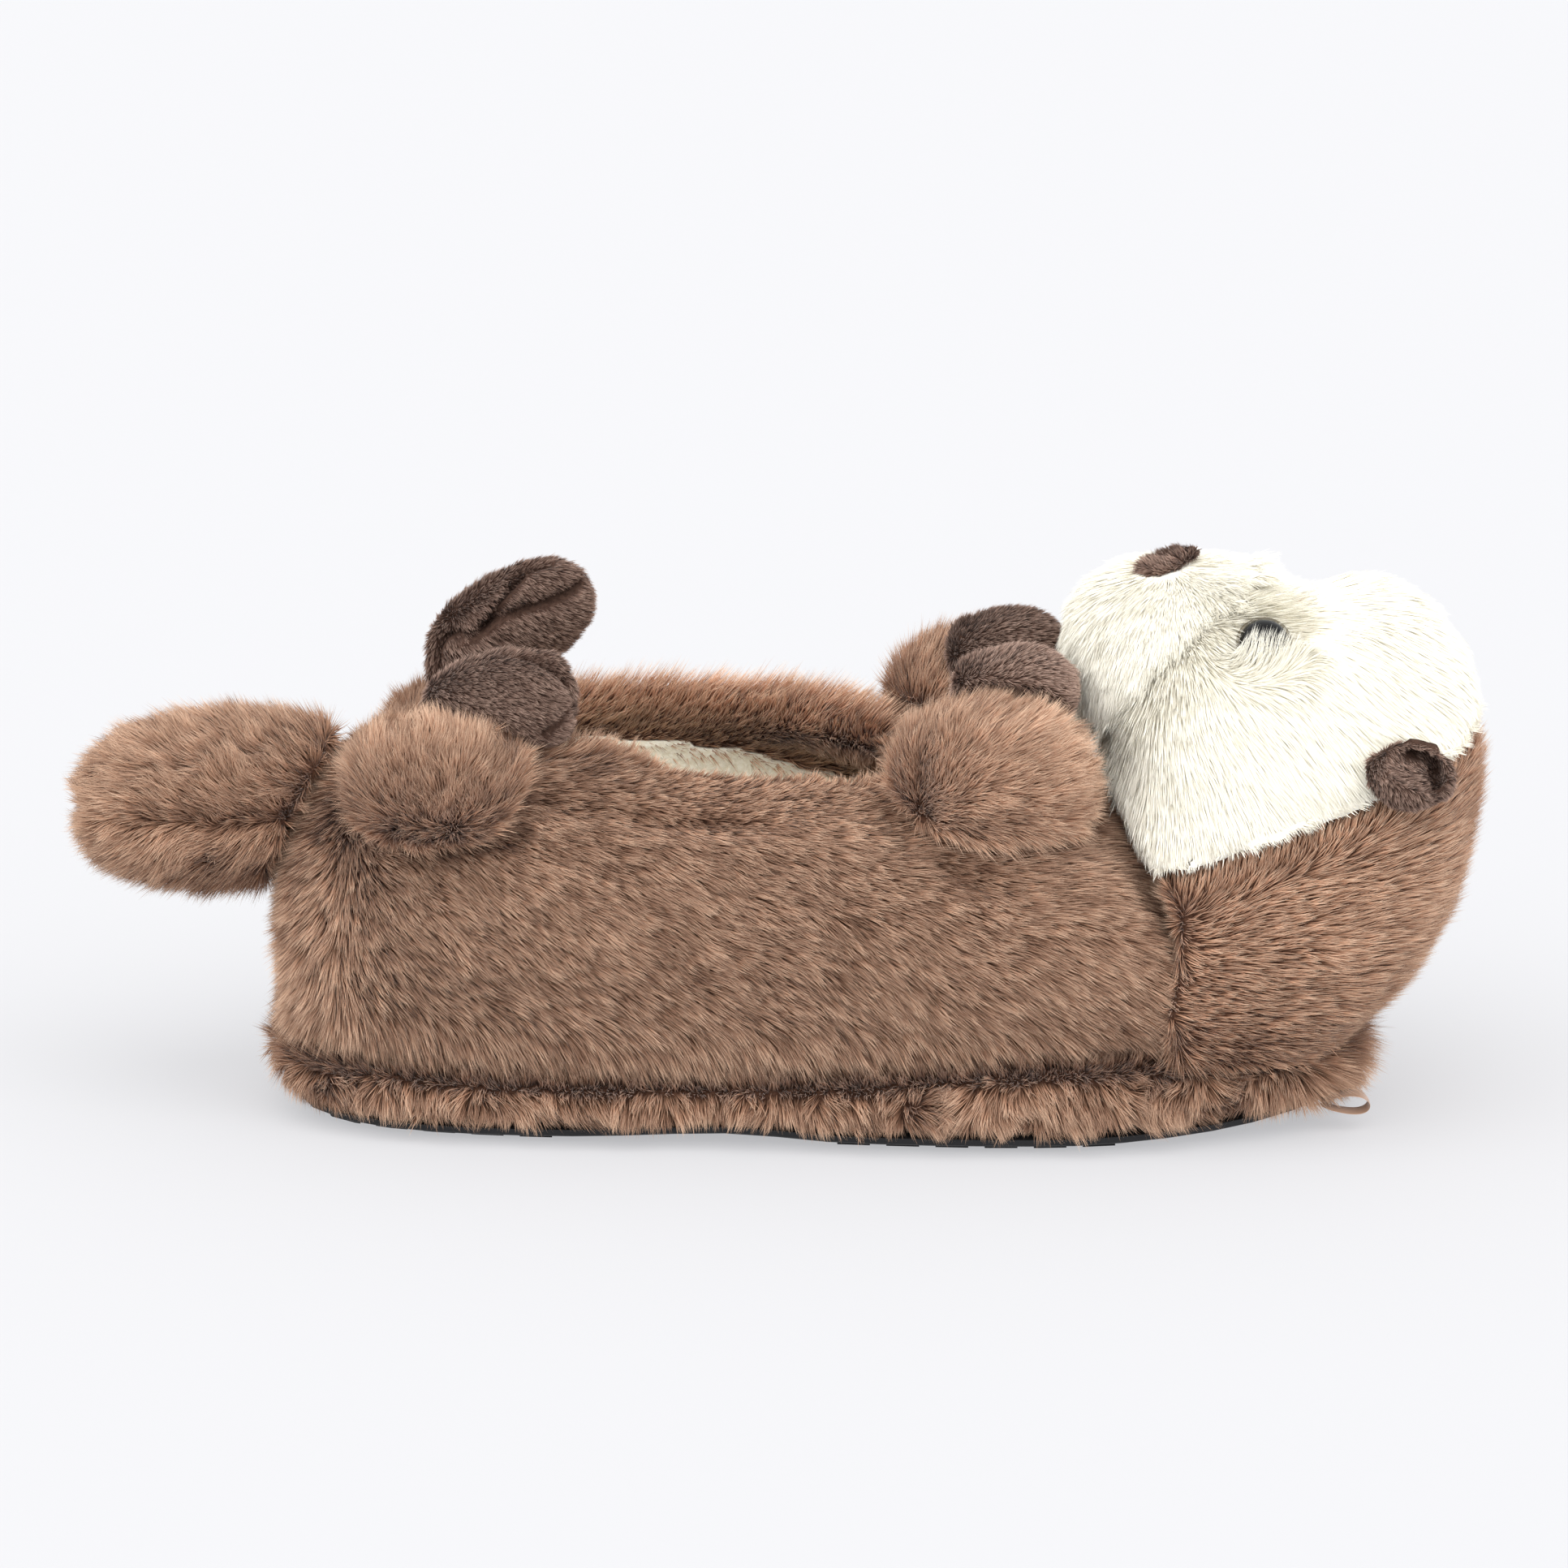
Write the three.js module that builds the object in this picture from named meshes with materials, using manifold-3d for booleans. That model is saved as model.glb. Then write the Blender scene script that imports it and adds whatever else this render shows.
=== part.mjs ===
// A plush otter slipper. The otter lies on its back: its belly is the opening for the foot,
// its head is the toe and its tail hangs out behind the heel.
// Millimetres. X runs from tail to head, Y to the far side, Z up from the floor.
import * as THREE from "three";
import { mergeVertices } from "three/addons/utils/BufferGeometryUtils.js";
import Module from "manifold-3d";

const wasm = await Module();
wasm.setup();

// Sizes of the shoe
const HEEL_END = -127;
const SOLE_LENGTH = 272;
const BALL_WIDTH = 110;
const SOLE_TOP = 20.5;
const OUTSOLE_THICK = 4;
const TREAD_DEEP = 1.4;
const TREAD_BAR = 8;
const TREAD_PITCH = 12;
const INSOLE_THICK = 4.5;
const GAP = 0.3;

// Sizes of the upper
const COLLAR_BACK = -92;
const COLLAR_FRONT = 30;
const COLLAR_WIDTH = 58;
const BODY_SET = -3;
const SIDE_WALL = 9;
const TOE_WALL = 5;
const TOE_DROP = 36;
const TOE_BACKSET = 12;
const SEAM_STEP = 1.2;
const SEAM_FOOT_X = 101;

// Sizes of the head
const FACE_THICK = 6;
const FACE_EDGE_X = 94;
const FACE_EDGE_Z = 71;
const FACE_SLOPE = 0.37;

// How many points the rings of each form take. seam is the last one before the body's seam.
const pointsRound = { shoe: 52, head: 32, snout: 22, limb: 16, tail: 20, seam: 20 };

// Colours of the fabrics, the rubber and the eyes
const BROWN = 0x9c7a66;
const CREAM = 0xf7f3e4;
const DARK = 0x665650;
const BLACK = 0x17161a;
const EYE = 0x120f0e;
const SATIN = 0x8a6650;

// Half width and edge heights along the sole, heel first. at and half are shares of the sole's
// length and half width, under and top lift the sole's two faces in millimetres.
const soleRows = [
  { at: 0.0, half: 0.84, under: 2.5, top: 0.0 },
  { at: 0.08, half: 0.85, under: 0.0, top: -0.5 },
  { at: 0.28, half: 0.86, under: 0.0, top: -2.0 },
  { at: 0.42, half: 0.87, under: 1.3, top: -2.0 },
  { at: 0.52, half: 0.93, under: 0.0, top: 0.0 },
  { at: 0.68, half: 1.0, under: 0.0, top: 4.0 },
  { at: 0.76, half: 1.0, under: 0.0, top: 4.5 },
  { at: 0.88, half: 0.95, under: 1.6, top: 3.5 },
  { at: 1.0, half: 0.84, under: 4.5, top: 1.0 },
];

// Side of the sole's two slabs. rise is the share of the slab's height, set the outset.
const midsoleRows = [
  { rise: 0.0, set: -9 },
  { rise: 0.1, set: -4 },
  { rise: 0.32, set: -0.5 },
  { rise: 0.6, set: 0 },
  { rise: 0.85, set: -1.5 },
  { rise: 1.0, set: -7 },
];
const outsoleRows = [
  { rise: 0.0, set: -9 },
  { rise: 0.4, set: -6.5 },
  { rise: 1.0, set: -6 },
];
const insoleRows = [
  { rise: 0.0, set: 0 },
  { rise: 0.7, set: 0 },
  { rise: 1.0, set: -1.6 },
];

// The two fields of tread bars, as shares of the sole's length and half width
const treadRows = [
  { from: 0.055, to: 0.276, half: 0.618 },
  { from: 0.5185, to: 0.776, half: 0.764 },
];

// The upper's skin from the sole up to the collar, then down inside. mix is the share of the
// way from the sole's edge to the collar's, rise the share of the height, swell the outset.
const outerRows = [
  { mix: 0.0, rise: 0.0, swell: -1.5 },
  { mix: 0.0, rise: 0.07, swell: 3.0 },
  { mix: 0.0, rise: 0.2, swell: 6.5 },
  { mix: 0.0, rise: 0.38, swell: 8.5 },
  { mix: 0.06, rise: 0.56, swell: 8.5 },
  { mix: 0.18, rise: 0.72, swell: 7.5 },
  { mix: 0.36, rise: 0.85, swell: 5.5 },
  { mix: 0.58, rise: 0.94, swell: 3.0 },
  { mix: 0.8, rise: 0.99, swell: 1.5 },
  { mix: 0.95, rise: 0.985, swell: 0.5 },
];
const innerRows = [
  { mix: 1.0, rise: 0.93, swell: 0 },
  { mix: 0.97, rise: 0.85, swell: 0 },
  { mix: 0.8, rise: 0.82, swell: 0 },
  { mix: 0.55, rise: 0.77, swell: 0 },
  { mix: 0.3, rise: 0.66, swell: 0 },
  { mix: 0.12, rise: 0.5, swell: 0 },
  { mix: 0.0, rise: 0.28, swell: 0 },
  { mix: 0.0, rise: 0.0, swell: 0 },
];

// Height of the collar's crown along the sole
const collarRows = [
  { at: 0.0, top: 97 },
  { at: 0.3, top: 101 },
  { at: 0.5, top: 98 },
  { at: 0.58, top: 93 },
  { at: 1.0, top: 92 },
];

// Level outlines of the head. back and front are its ends, half its half width.
const headRows = [
  { z: 16, back: 70, front: 139, half: 45, power: 2.5 },
  { z: 24, back: 66, front: 147, half: 51, power: 2.5 },
  { z: 36, back: 64, front: 158, half: 56, power: 2.5 },
  { z: 50, back: 64, front: 166, half: 58.5, power: 2.5 },
  { z: 65, back: 68, front: 171, half: 58.5, power: 2.5 },
  { z: 80, back: 74, front: 173.8, half: 57, power: 2.5 },
  { z: 94, back: 78, front: 174.5, half: 54, power: 2.6 },
  { z: 107, back: 79, front: 173, half: 49, power: 2.5 },
  { z: 119, back: 83, front: 169, half: 42, power: 2.4 },
  { z: 129, back: 91, front: 162, half: 32, power: 2.2 },
  { z: 135, back: 102, front: 153, half: 19, power: 2.1 },
  { z: 137, back: 113, front: 143, half: 9, power: 2 },
];

// The tail from its root to its tip
const tailRows = [
  { x: -108, z: 80, wide: 20, tall: 17 },
  { x: -114, z: 79, wide: 23, tall: 20 },
  { x: -124, z: 78, wide: 26, tall: 22.5 },
  { x: -138, z: 77.5, wide: 28, tall: 23.5 },
  { x: -152, z: 77, wide: 27, tall: 22.5 },
  { x: -163, z: 76.5, wide: 23, tall: 19 },
  { x: -170, z: 76, wide: 17, tall: 13.5 },
  { x: -174.5, z: 76, wide: 8, tall: 6 },
];

// Stuffed limbs and snout: the centre, three half sizes and the turns about Y and X in degrees.
// aside is a share of the half width at the ball. The limbs stand on the far side here, and
// their mirror images on the near side. The near hind foot lies flatter than the far one.
const limbRows = [
  { name: "arm", x: 51, aside: 0.691, z: 91, long: 27, wide: 19.5, tall: 24, pitch: 0, roll: 0 },
  { name: "paw", x: 57, aside: 0.4, z: 110.5, long: 16, wide: 12, tall: 13, pitch: 8, roll: 0 },
  { name: "haunch", x: -82, aside: 0.673, z: 90, long: 24, wide: 17, tall: 19, pitch: 0, roll: 0 },
  {
    name: "hind_foot_near",
    x: -66.5,
    aside: 0.564,
    z: 111.5,
    long: 21.5,
    wide: 9.5,
    tall: 13.5,
    pitch: 12,
    roll: 12,
  },
  {
    name: "hind_foot_far",
    x: -68,
    aside: 0.564,
    z: 116.5,
    long: 24.5,
    wide: 9.5,
    tall: 15.5,
    pitch: 30,
    roll: 12,
  },
  { name: "muzzle", x: 97.5, aside: 0, z: 114.5, long: 29, wide: 33, tall: 26.5, pitch: 0, roll: 0 },
];

// Small pieces on the head
const EYE_AT = new THREE.Vector3(116.2, 34.5, 127.2);
const EYE_RADIUS = 6.3;
const EYE_DOME = 0.75;
const EAR_AT = new THREE.Vector3(150.5, 51, 95.5);
const EAR_WIDE = 12.5;
const EAR_DEEP = 9;
const EAR_TALL = 10;
const NOSE_AT = new THREE.Vector3(94, 0, 140);
const NOSE_SIZE = new THREE.Vector3(8.5, 11, 9);
const NOSE_THICK = 1.5;

// The ribbon loop's distance from the toe's end, its place aside and its height over the outsole
const LOOP_BACKSET = 12.1;
const LOOP_ASIDE = -28;
const LOOP_LIFT = 0.37;
const LOOP_WIDE = 6.4;
const LOOP_THICK = 0.6;

// Smooth value of a table's column at a place along it
function columnAt(rows, place, key, at) {
  const last = rows.length - 1;
  let k = 0;
  while (k < last - 1 && at > rows[k + 1][place]) {
    k += 1;
  }
  const a = rows[k];
  const b = rows[k + 1];
  const before = rows[Math.max(k - 1, 0)];
  const after = rows[Math.min(k + 2, last)];
  const span = b[place] - a[place];
  const share = Math.min(Math.max((at - a[place]) / span, 0), 1);
  const slopeA = ((b[key] - before[key]) / (b[place] - before[place])) * span;
  const slopeB = ((after[key] - a[key]) / (after[place] - a[place])) * span;
  const s2 = share * share;
  const s3 = s2 * share;
  return (
    (2 * s3 - 3 * s2 + 1) * a[key] +
    (s3 - 2 * s2 + share) * slopeA +
    (3 * s2 - 2 * s3) * b[key] +
    (s3 - s2) * slopeB
  );
}

function smoothStep(from, to, value) {
  const share = Math.min(Math.max((value - from) / (to - from), 0), 1);
  return share * share * (3 - 2 * share);
}

function soleShare(x) {
  return (x - HEEL_END) / SOLE_LENGTH;
}

function underLift(x) {
  return columnAt(soleRows, "at", "under", soleShare(x));
}

function outsoleTopAt(x) {
  return underLift(x) + OUTSOLE_THICK;
}

function soleTopAt(x) {
  return SOLE_TOP + columnAt(soleRows, "at", "top", soleShare(x));
}

// A ring round a level outline, evenly spaced, from the back end along the near side.
// halfAt gives the half width at a share of the length.
function levelRing(back, front, halfAt, power, count) {
  const steps = 160;
  const path = new THREE.CurvePath();
  let last = new THREE.Vector3(back, 0, 0);
  for (let k = 1; k <= steps; k += 1) {
    const angle = (Math.PI * k) / steps;
    const along = -Math.sign(Math.cos(angle)) * Math.abs(Math.cos(angle)) ** (2 / power);
    const share = (1 + along) / 2;
    const x = back + (front - back) * share;
    const y = k === steps ? 0 : -halfAt(share) * Math.sin(angle) ** (2 / power);
    const next = new THREE.Vector3(x, y, 0);
    path.add(new THREE.LineCurve3(last, next));
    last = next;
  }
  path.arcLengthDivisions = 4 * steps;
  const half = Math.round(count / 2);
  const near = [];
  for (let k = 0; k <= half; k += 1) {
    near.push(path.getPointAt(k / half));
  }
  near[0].y = 0;
  near[half].y = 0;
  const far = near.slice(1, -1).reverse();
  return near.concat(far.map((p) => new THREE.Vector3(p.x, -p.y, 0)));
}

// The level ring moved outward by a distance that may differ from point to point
function outsetRing(ring, setAt) {
  const count = ring.length;
  return ring.map((p, k) => {
    const before = ring[(k + count - 1) % count];
    const after = ring[(k + 1) % count];
    const out = new THREE.Vector3(after.y - before.y, before.x - after.x, 0).normalize();
    return p.clone().addScaledVector(out, setAt(out, p));
  });
}

function soleRing(set, count) {
  const halfAt = (share) => (BALL_WIDTH / 2) * columnAt(soleRows, "at", "half", share);
  const edge = levelRing(HEEL_END, HEEL_END + SOLE_LENGTH, halfAt, 3.1, count);
  return outsetRing(edge, () => set);
}

// Rings moved outward all over by the same distance
function grownRings(rings, grow, looped) {
  if (grow === 0) {
    return rings;
  }
  const rows = rings.length;
  const count = rings[0].length;
  const ends = looped ? 0 : 1;
  return rings.map((ring, r) =>
    ring.map((p, k) => {
      const below = rings[looped ? (r + rows - 1) % rows : Math.max(r - 1, 0)][k];
      const above = rings[looped ? (r + 1) % rows : Math.min(r + 1, rows - 1)][k];
      const before = ring[(k + count - 1) % count];
      const after = ring[(k + 1) % count];
      const up = above.clone().sub(below);
      const out = after.clone().sub(before).cross(up).normalize();
      if (ends && r === 0) {
        out.sub(middleOf(rings[1]).sub(middleOf(ring)).normalize());
      }
      if (ends && r === rows - 1) {
        out.add(middleOf(ring).sub(middleOf(rings[r - 1])).normalize());
      }
      return p.clone().addScaledVector(out.normalize(), grow);
    }),
  );
}

function middleOf(ring) {
  const sum = new THREE.Vector3();
  for (const p of ring) {
    sum.add(p);
  }
  return sum.divideScalar(ring.length);
}

// A solid skinned over rings. Its ends are closed with rungs from side to side,
// or the last ring joins the first one where it is looped.
function solidOfRings(rings, looped = false) {
  const count = rings[0].length;
  const rows = rings.length;
  const points = rings.flat();
  const faces = [];
  for (let r = 0; r < (looped ? rows : rows - 1); r += 1) {
    for (let k = 0; k < count; k += 1) {
      const a = r * count + k;
      const b = r * count + ((k + 1) % count);
      const c = ((r + 1) % rows) * count + ((k + 1) % count);
      const d = ((r + 1) % rows) * count + k;
      faces.push([a, b, c], [a, c, d]);
    }
  }
  if (!looped) {
    const top = (rows - 1) * count;
    for (let k = 0; k < count / 2; k += 1) {
      const near = [k, k + 1];
      const far = [(count - k) % count, count - k - 1];
      if (k > 0) {
        faces.push([near[0], far[0], near[1]]);
        faces.push([top + near[0], top + near[1], top + far[0]]);
      }
      if (far[1] !== near[1]) {
        faces.push([near[1], far[0], far[1]]);
        faces.push([top + near[1], top + far[1], top + far[0]]);
      }
    }
  }
  return solidOfFaces(points, faces);
}

function solidOfFaces(points, faces) {
  const vertProperties = new Float32Array(points.flatMap((p) => [p.x, p.y, p.z]));
  const build = (list) =>
    new wasm.Manifold(
      new wasm.Mesh({ numProp: 3, vertProperties, triVerts: new Uint32Array(list.flat()) }),
    );
  const made = build(faces);
  if (made.status() !== "NoError") {
    throw new Error("the faces of a solid don't close");
  }
  return made.volume() > 0 ? made : build(faces.map(([a, b, c]) => [a, c, b]));
}

// The largest body of a solid, without the crumbs that a cut can leave
function mainBody(solid) {
  const bodies = solid.decompose();
  bodies.sort((a, b) => b.volume() - a.volume());
  return bodies[0];
}

function solidOfGeometry(geometry) {
  geometry.deleteAttribute("normal");
  geometry.deleteAttribute("uv");
  const merged = mergeVertices(geometry, 1e-4);
  return new wasm.Manifold(
    new wasm.Mesh({
      numProp: 3,
      vertProperties: new Float32Array(merged.attributes.position.array),
      triVerts: new Uint32Array(merged.index.array),
    }),
  );
}

// A prism across the whole shoe, from corners in side view
function sidePrism(corners) {
  const shape = new THREE.Shape(corners.map(([x, z]) => new THREE.Vector2(x, z)));
  const geometry = new THREE.ExtrudeGeometry(shape, { depth: 2 * BALL_WIDTH, bevelEnabled: false });
  geometry.rotateX(Math.PI / 2);
  geometry.translate(0, BALL_WIDTH, 0);
  return solidOfGeometry(geometry);
}

// A flat slab of the sole: rows of outset rings between a lower and an upper height
function slabRings(edge, rows, lowAt, highAt) {
  return rows.map((row) => {
    const ring = outsetRing(edge, () => row.set);
    for (const p of ring) {
      p.z = lowAt(p.x) + (highAt(p.x) - lowAt(p.x)) * row.rise;
    }
    return ring;
  });
}

// Ruffled locks of fur fused on a skin. Each is a short pointed tuft that lies along the flow.
function lockSolid(root, out, flow, long, wide, lift) {
  const side = out.clone().cross(flow).normalize();
  const at = (along, across, up) =>
    root
      .clone()
      .addScaledVector(flow, along)
      .addScaledVector(side, across)
      .addScaledVector(out, up);
  const points = [
    at(-0.3 * long, 0, -0.6),
    at(0, -wide / 2, -0.7),
    at(0, wide / 2, -0.7),
    at(0.25 * long, 0, lift),
    at(long, 0, lift * 0.8),
    at(0.3 * long, 0, -2.6),
  ];
  const faces = [
    [0, 1, 3],
    [0, 3, 2],
    [1, 4, 3],
    [3, 4, 2],
    [0, 5, 1],
    [0, 2, 5],
    [1, 5, 4],
    [2, 4, 5],
  ];
  return solidOfFaces(points, faces);
}

// Locks spread over chosen rows of a skin, with small fixed differences from lock to lock.
// flowOf gives the direction of the fur from the skin's outward direction.
function locksOn(rings, rowList, step, long, flowOf, keep) {
  const count = rings[0].length;
  const locks = [];
  rowList.forEach((r, turn) => {
    for (let k = (turn * 2) % step; k < count; k += step) {
      const p = rings[r][k];
      if (!keep(p)) {
        continue;
      }
      const after = rings[r][(k + 1) % count];
      const before = rings[r][(k + count - 1) % count];
      const up = rings[Math.min(r + 1, rings.length - 1)][k].clone().sub(rings[r - 1][k]);
      const out = after.clone().sub(before).cross(up).normalize();
      const differ = Math.sin(k * 12.9 + r * 7.3) * 0.5;
      const flow = flowOf(out, p).clone();
      flow.addScaledVector(up.normalize(), differ * 0.5);
      flow.addScaledVector(out, -flow.dot(out)).normalize();
      locks.push(lockSolid(p, out, flow, long * (1 + differ * 0.4), long, 1.5 + differ * 0.6));
    }
  });
  return wasm.Manifold.union(locks);
}

const outerEdge = soleRing(BODY_SET, pointsRound.shoe);
const innerEdge = soleRing(BODY_SET - SIDE_WALL, pointsRound.shoe);
const toeEdge = soleRing(BODY_SET - SIDE_WALL + TOE_WALL, pointsRound.shoe);
const collarEdge = levelRing(COLLAR_BACK, COLLAR_FRONT, () => COLLAR_WIDTH / 2, 2.4, pointsRound.shoe);

// The seam between body and head leans back from the sole up to the face's lower corner
function seamAt(rise) {
  return SEAM_FOOT_X + (FACE_EDGE_X - SEAM_FOOT_X) * Math.min(rise / 0.6, 1);
}

// The toe box ends this much short of the sole's toe, to leave room for the head's stuffing
function backset(point) {
  const share = smoothStep(FACE_EDGE_X - 28, HEEL_END + SOLE_LENGTH, point.x);
  return new THREE.Vector3(point.x - TOE_BACKSET * share, point.y, 0);
}

// One point of the upper's skin: row of the table, index round the shoe
function upperPoint(row, k, inside) {
  const count = collarEdge.length;
  const past = Math.min(k, count - k) - pointsRound.seam;
  const step = !inside && past > 0;
  const start = inside ? backset(innerEdge[k]) : step ? backset(toeEdge[k]) : outerEdge[k].clone();
  if (!inside && past === 0) {
    start.x = seamAt(row.rise);
  }
  if (step && past === 1) {
    start.x = seamAt(row.rise) + SEAM_STEP;
  }
  const end = collarEdge[k];
  const before = outerEdge[(k + count - 1) % count];
  const after = outerEdge[(k + 1) % count];
  const out = new THREE.Vector3(after.y - before.y, before.x - after.x, 0).normalize();
  const swell = row.swell * (0.1 + 0.9 * Math.abs(out.y)) * (step ? 0.1 : 1);
  const p = start.lerp(end, row.mix).addScaledVector(out, swell);
  const floor = soleTopAt(p.x) + GAP;
  const crown = columnAt(collarRows, "at", "top", soleShare(p.x));
  const toeward = smoothStep(FACE_EDGE_X - 22, FACE_EDGE_X + 33, p.x);
  p.z = floor + row.rise * (crown - floor - TOE_DROP * toeward * (1 - row.mix));
  return p;
}

function upperRings(grow, hollow) {
  const ringOf = (row, inside) => collarEdge.map((_, k) => upperPoint(row, k, inside));
  const outer = outerRows.map((row) => ringOf(row, false));
  if (!hollow) {
    return grownRings(outer, grow, false);
  }
  const inner = innerRows.map((row) => ringOf(row, true));
  return grownRings(outer.concat(inner), grow, true);
}

// Rings of the head's whole form, from its base to its crown
function headRings(grow) {
  const rings = headRows.map((row) => {
    const ring = levelRing(row.back, row.front, () => row.half, row.power, pointsRound.head);
    for (const p of ring) {
      p.z = row.z;
    }
    return ring;
  });
  return grownRings(rings, grow, false);
}

// Rings of a stuffed form, round its long axis. It is a ball with its own half sizes,
// blunter than an ellipse, turned about Y and X and moved to its centre.
function limbRings(row, side, grow, around = pointsRound.limb, rows = 7) {
  const turn = new THREE.Euler(
    THREE.MathUtils.degToRad(row.roll * side),
    THREE.MathUtils.degToRad(-row.pitch),
    0,
    "YXZ",
  );
  const middle = (BALL_WIDTH / 2) * row.aside * side;
  const rings = [];
  for (let r = 0; r < rows; r += 1) {
    const tilt = -1 + (2 * (r + 0.35)) / (rows - 0.3);
    const along = Math.sin((tilt * Math.PI) / 2);
    const radius = Math.cos((tilt * Math.PI) / 2) ** 0.75;
    const ring = [];
    for (let k = 0; k < around; k += 1) {
      const angle = (2 * Math.PI * k) / around;
      const p = new THREE.Vector3(
        along * row.long,
        -Math.cos(angle) * radius * row.wide,
        -Math.sin(angle) * radius * row.tall,
      );
      p.applyEuler(turn).add(new THREE.Vector3(row.x, middle, row.z));
      ring.push(p);
    }
    rings.push(ring);
  }
  return grownRings(rings, grow, false);
}

function limb(name) {
  return limbRows.find((row) => row.name === name);
}

// The bars of one field of the tread, side by side along the sole
function treadBars(row) {
  const to = HEEL_END + SOLE_LENGTH * row.to;
  const bars = [];
  for (let x = HEEL_END + SOLE_LENGTH * row.from; x + TREAD_BAR <= to; x += TREAD_PITCH) {
    const bar = new THREE.BoxGeometry(TREAD_BAR, BALL_WIDTH * row.half, TREAD_DEEP + 1);
    bar.translate(x + TREAD_BAR / 2, 0, (TREAD_DEEP + 1) / 2);
    bars.push(solidOfGeometry(bar));
  }
  return bars;
}

// A rubber plate with bars under it, which end inside the plate's outline
function makeOutsole() {
  const low = (x) => underLift(x) + TREAD_DEEP;
  const edge = soleRing(0, pointsRound.shoe);
  const plate = solidOfRings(slabRings(edge, outsoleRows, low, outsoleTopAt));
  const flatRows = [
    { rise: 0, set: -12 },
    { rise: 1, set: -12 },
  ];
  const outline = slabRings(
    edge,
    flatRows,
    () => 0,
    () => OUTSOLE_THICK,
  );
  const bars = wasm.Manifold.union(treadRows.flatMap(treadBars));
  return plate.add(bars.intersect(solidOfRings(outline)));
}

function midsoleRings(grow) {
  const low = (x) => underLift(x) + OUTSOLE_THICK + GAP;
  return grownRings(slabRings(soleRing(0, pointsRound.shoe), midsoleRows, low, soleTopAt), grow, false);
}

// The foam slab, with ruffled locks round its side
function makeMidsole() {
  const rings = midsoleRings(0);
  const flow = new THREE.Vector3(-1, 0, -0.6);
  const loop = loopPlace();
  const clearOfLoop = (p) => p.x < loop.x - 20 || Math.abs(p.y - loop.y) > 16;
  const locks = locksOn(rings, [2, 4], 5, 8, () => flow, clearOfLoop);
  const cover = solidOfRings(upperRings(GAP, false)).add(solidOfRings(headRings(GAP)));
  const room = solidOfRings(midsoleRings(3.5)).subtract(cover);
  return solidOfRings(rings).add(locks.intersect(room));
}

// The footbed inside the upper
function makeInsole() {
  const edge = innerEdge.map(backset);
  const low = (x) => soleTopAt(x) + GAP;
  const high = (x) => soleTopAt(x) + GAP + INSOLE_THICK;
  const rows = insoleRows.map((row) => ({ rise: row.rise, set: row.set - 1.2 }));
  return solidOfRings(slabRings(edge, rows, low, high));
}

// A limb or the snout as a solid, which may be grown by the gap that its neighbours keep
function limbSolid(name, side, grow, around, rows) {
  return solidOfRings(limbRings(limb(name), side, grow, around, rows));
}

function tailRings(grow) {
  const around = pointsRound.tail;
  const rings = tailRows.map((row) => {
    const ring = [];
    for (let k = 0; k < around; k += 1) {
      const angle = (2 * Math.PI * k) / around;
      const y = -Math.cos(angle) * row.wide;
      ring.push(new THREE.Vector3(row.x, y, row.z - Math.sin(angle) * row.tall));
    }
    return ring;
  });
  return grownRings(rings.reverse(), grow, false);
}

// The hollow shell of the body, with ruffled locks low on its sides
function makeUpper() {
  const rings = upperRings(0, true);
  const flow = new THREE.Vector3(-1, 0, -0.35);
  const onSide = (p) => p.x < FACE_EDGE_X - 12 && p.z > 30 && p.z < 72;
  const attached = wasm.Manifold.union([
    solidOfRings(tailRings(GAP)),
    limbSolid("arm", -1, GAP),
    limbSolid("arm", 1, GAP),
    limbSolid("haunch", -1, GAP),
    limbSolid("haunch", 1, GAP),
    solidOfRings(midsoleRings(GAP)),
  ]);
  const locks = locksOn(rings, [2, 4], 4, 11, () => flow, onSide).subtract(attached);
  return solidOfRings(rings, true).add(locks);
}

// The side of the head that the body takes up, in side view
function bodySide(grow) {
  const behind = COLLAR_FRONT + 10;
  const crown = collarRows[0].top + 6;
  const foot = SEAM_FOOT_X + GAP + grow;
  return sidePrism([
    [behind, 0],
    [foot, 0],
    [foot, SOLE_TOP + 4],
    [FACE_EDGE_X + GAP + grow, FACE_EDGE_Z - 13],
    [FACE_EDGE_X - 6 + grow, FACE_EDGE_Z - 1],
    [FACE_EDGE_X - 16 + grow, FACE_EDGE_Z + 17],
    [FACE_EDGE_X - 24 + grow, crown],
    [behind, crown],
  ]);
}

// Everything above the slanting line where the face meets the back of the head
function aboveFace(grow) {
  const heightAt = (x) => FACE_EDGE_Z + (x - FACE_EDGE_X) * FACE_SLOPE - grow;
  const behind = COLLAR_FRONT + 10;
  const beyond = HEEL_END + 1.25 * SOLE_LENGTH;
  const above = 2 * BALL_WIDTH;
  return sidePrism([
    [behind, heightAt(behind)],
    [beyond, heightAt(beyond)],
    [beyond, above],
    [behind, above],
  ]);
}

// The whole head outside the body, before face and back are parted
function headForm() {
  return solidOfRings(headRings(0))
    .subtract(bodySide(0))
    .subtract(solidOfRings(upperRings(GAP, false)))
    .subtract(solidOfRings(midsoleRings(GAP)));
}

// The brown back of the head, rebated where the face panel lies on it
function makeHead(form) {
  const rings = headRings(0);
  const faceRoom = aboveFace(GAP).subtract(solidOfRings(headRings(-FACE_THICK - GAP)));
  const underFace = (p) => p.z < FACE_EDGE_Z + (p.x - FACE_EDGE_X) * FACE_SLOPE - 9;
  const keep = (p) => p.x > SEAM_FOOT_X + 7 && p.z > SOLE_TOP + 9.5 && underFace(p);
  const flow = new THREE.Vector3(-1, 0, 0.3);
  const locks = locksOn(rings, [3, 5], 5, 10, () => flow, keep);
  return form.subtract(faceRoom).add(locks);
}

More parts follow.
